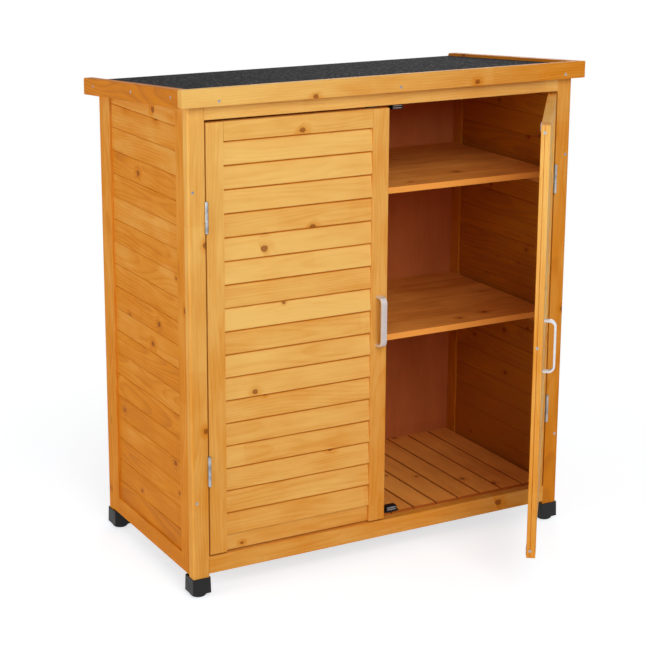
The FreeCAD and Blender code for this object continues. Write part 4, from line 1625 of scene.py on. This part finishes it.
@dataclass
class Catches:
    """Magnetic catches, two on the floor and two under the batten."""

    bench: Bench
    screws: ScrewKit
    centre_x: float = 26.5
    floor_z: float = 83.0
    top_z: float = 906.0
    front_y: float = -188.0
    width: float = 24.0
    depth: float = 14.0
    height: float = 12.5
    rim: float = 1.6
    set_back: float = 1.2
    ease: float = 0.5
    ear_width: float = 38.0
    ear_thick: float = 2.0
    ear_inset: float = 2.0
    ear_corner: float = 3.0
    screw_spread: float = 14.5
    screw_lift: float = 0.1
    pole_width: float = 20.0
    pole_high: float = 1.6
    pole_proud: float = 0.8
    pole_ease: float = 0.25
    pole_z: Span = (5.0, 9.0)

    def housing(self) -> Piece:
        """Builds a housing that stands on height 0, its magnet set back in the front.

        Returns:
            The housing, centred across.
        """
        half, deep = self.width / 2, self.front_y + self.depth
        body = block((-half, self.front_y, 0), (half, deep, self.height))
        draw(body, lambda middle, normal: normal.y < -SQUARE, self.rim, (0, self.set_back, 0))
        half = self.ear_width / 2
        ears = block((-half, self.front_y + self.ear_inset, 0), (half, deep - self.ear_inset, self.ear_thick))
        round_edges(ears, edges_at(Way.Z), self.ear_corner, CORNER_STEPS)
        carve(body, ears, "UNION")
        return eased(body, self.ease)

    def poles(self) -> Piece:
        """Builds the two pole plates of a catch that stands on height 0.

        Returns:
            The plates as one piece.
        """
        half, front, rear = self.pole_width / 2, self.front_y - self.pole_proud, self.front_y + self.set_back
        plates = [block((-half, front, z), (half, rear, z + self.pole_high)) for z in self.pole_z]
        return joined([eased(plate, self.pole_ease) for plate in plates])

    def places(self) -> list[Matrix]:
        """Where the catches go: standing on the floor or hanging from the batten."""
        over = Matrix.Scale(-1, 4, (0, 0, 1))
        ends = (moved(z=self.floor_z), moved(z=self.top_z) @ over)
        return [moved(x=x) @ end for x in (-self.centre_x, self.centre_x) for end in ends]

    def build(self) -> None:
        """Builds the four catches."""
        for pattern, name, node, slot in (
                (self.housing(), "plastic_catch_housings", "catch_housings", Slot.BLACK_PLASTIC),
                (self.poles(), "steel_catch_poles", "catch_pole_plates", Slot.ZINC_STEEL)):
            self.bench.fit(joined(copies(pattern, self.places())), name, "carcass", slot, node)
        y, z = self.front_y + self.depth / 2, self.ear_thick + self.screw_lift
        heads = []
        for place in self.places():
            for x in (-self.screw_spread, self.screw_spread):
                spot = place @ (Vector((x, y, z)) * MM)
                heads.append(self.screws.facing(spot / MM, (0, 0, place[2][2])))
        screws = self.screws.drive(heads)
        self.bench.fit(screws, "steel_catch_screws", "carcass", Slot.ZINC_STEEL, "catch_screws")


def stand(name: str, thing: bpy.types.ID, place: Matrix) -> Piece:
    """Stands a lamp or a camera in its place.

    Args:
        name: Its name.
        thing: The lamp or camera.
        place: Where it goes.

    Returns:
        What holds it.
    """
    holder = bpy.data.objects.new(name, thing)
    holder.matrix_world = place
    bpy.context.scene.collection.objects.link(holder)
    return holder


@dataclass(frozen=True)
class Lamp:
    """A soft square lamp that looks at the middle of the cabinet."""

    name: str
    at: tuple[float, float, float]
    power: float
    size: float
    target: tuple[float, float, float] = (0.0, 0.0, 0.5)

    def hang(self) -> None:
        """Hangs the lamp."""
        lamp = bpy.data.lights.new(self.name, "AREA")
        lamp.energy, lamp.size = self.power, self.size
        turn = (Vector(self.target) - Vector(self.at)).to_track_quat("-Z", "Y").to_matrix().to_4x4()
        stand(self.name, lamp, Matrix.Translation(self.at) @ turn)


@dataclass(frozen=True)
class Studio:
    """Pale floor, soft light and the camera."""

    camera_at: tuple[float, float, float] = (-1.65746, -2.92936, 1.39785)
    heading: float = -0.50028
    pitch: float = -0.24209
    roll: float = 0.0029
    lens: float = 96.07
    sensor: float = 36.0
    shift: Span = (0.0184, -0.1)
    clip: Span = (0.05, 60.0)
    sky: float = 0.3
    sky_light: Colour = srgb(250, 250, 255)
    lamps: tuple[Lamp, ...] = (
        Lamp("key", (-0.8, -3.75, 2.9), 110.0, 2.6),
        Lamp("side_fill", (-4.0, -0.2, 1.0), 57.0, 2.0),
        Lamp("rear_fill", (2.6, 3.6, 1.2), 60.0, 2.0),
    )
    floor_size: float = 7.0
    paper: Colour = srgb(238, 238, 238)
    paper_seen: Colour = (0.54, 0.55, 0.56, 1.0)
    paper_glow: Colour = (0.65, 0.67, 0.68, 1.0)
    paper_reach: Span = (0.45, 1.2)

    def camera(self) -> None:
        """Sets up the camera."""
        lens = bpy.data.cameras.new("camera")
        lens.lens, lens.sensor_width = self.lens, self.sensor
        lens.shift_x, lens.shift_y = self.shift
        lens.clip_start, lens.clip_end = self.clip
        turn = Matrix.Rotation(self.heading, 4, "Z") @ Matrix.Rotation(math.pi / 2 + self.pitch, 4, "X")
        place = Matrix.Translation(self.camera_at) @ turn @ Matrix.Rotation(self.roll, 4, "Z")
        bpy.context.scene.camera = stand("camera", lens, place)

    @staticmethod
    def seen(g: Graph) -> Socket:
        """Is 1 where the camera looks straight, through glass or into a sheen, and 0 for all other light."""
        path = g.node("LightPath", {})
        straight = g.calc("MAXIMUM", path.outputs["Is Camera Ray"], path.outputs["Is Transmission Ray"])
        return g.calc("MAXIMUM", straight, path.outputs["Is Glossy Ray"])

    def world(self) -> None:
        """Sets up the surroundings: white to look at and to mirror, and a soft light for the rest."""
        world = bpy.data.worlds.new("white_room")
        world.use_nodes = True
        bpy.context.scene.world = world
        world.node_tree.nodes.clear()
        g = Graph(world.node_tree)
        light = g.node("Background", {0: self.sky_light, 1: self.sky})
        white = g.node("Background", {0: WHITE, 1: 1.0})
        mixed = g.node("MixShader", {0: self.seen(g), 1: light.outputs[0], 2: white.outputs[0]})
        g.node("OutputWorld", {0: mixed.outputs[0]})

    def floor(self) -> None:
        """Lays the pale floor, which looks white and keeps a faint shadow of the cabinet."""
        pick_up()
        bpy.ops.mesh.primitive_plane_add(size=self.floor_size, location=(0, 0, 0))
        floor = claimed()
        floor.name = floor.data.name = "studio_floor"
        material = bpy.data.materials.new("pale_floor")
        material.use_nodes = True
        material.node_tree.nodes.clear()
        g = Graph(material.node_tree)
        seen = self.seen(g)
        distance = g.node("VectorMath", {0: g.place()}, operation="LENGTH").outputs["Value"]
        away = g.rise(distance, *self.paper_reach)
        faint = g.blended(away, self.paper_seen, BLACK)
        paper = g.node("BsdfDiffuse", {0: g.blended(seen, self.paper, faint)})
        glow = g.node("Emission", {0: g.blended(away, self.paper_glow, WHITE), 1: seen})
        both = g.node("AddShader", {0: paper.outputs[0], 1: glow.outputs[0]})
        g.node("OutputMaterial", {0: both.outputs[0]})
        floor.data.materials.append(material)

    def build(self) -> None:
        """Sets up the studio."""
        self.camera()
        self.world()
        self.floor()
        for lamp in self.lamps:
            lamp.hang()
        bpy.context.scene.view_settings.view_transform = "Standard"


def main() -> None:
    """Builds the cabinet piece by piece, then the studio."""
    logging.basicConfig(level=logging.INFO, format="%(message)s")
    bench = Bench(all_finishes(), random.Random(52))
    screws = ScrewKit()
    small_screws = ScrewKit(head_r=2.1, head_h=0.9, shank_r=1.0, shank_len=0.6, recess=1.2)
    frames, roof = Frames(bench, screws), Roof(bench, screws)
    hinges = Hinges(bench, small_screws)
    frames.build()
    SidePanels(bench).build()
    Interior(bench).build()
    roof.build()
    Feet(bench).build()
    places = roof.front_places()
    for side, _ in SIDES:
        places += roof.side_places(side) + frames.screw_places(side)
    bench.fit(screws.drive(places), "steel_assembly_screws", "carcass", Slot.ZINC_STEEL, "assembly_screws")
    hinges.build_frame_side()
    for _, word in SIDES:
        Door(bench, screws, hinges, word).build()
    Catches(bench, screws).build()
    Studio().build()


if __name__ == "__main__":
    main()
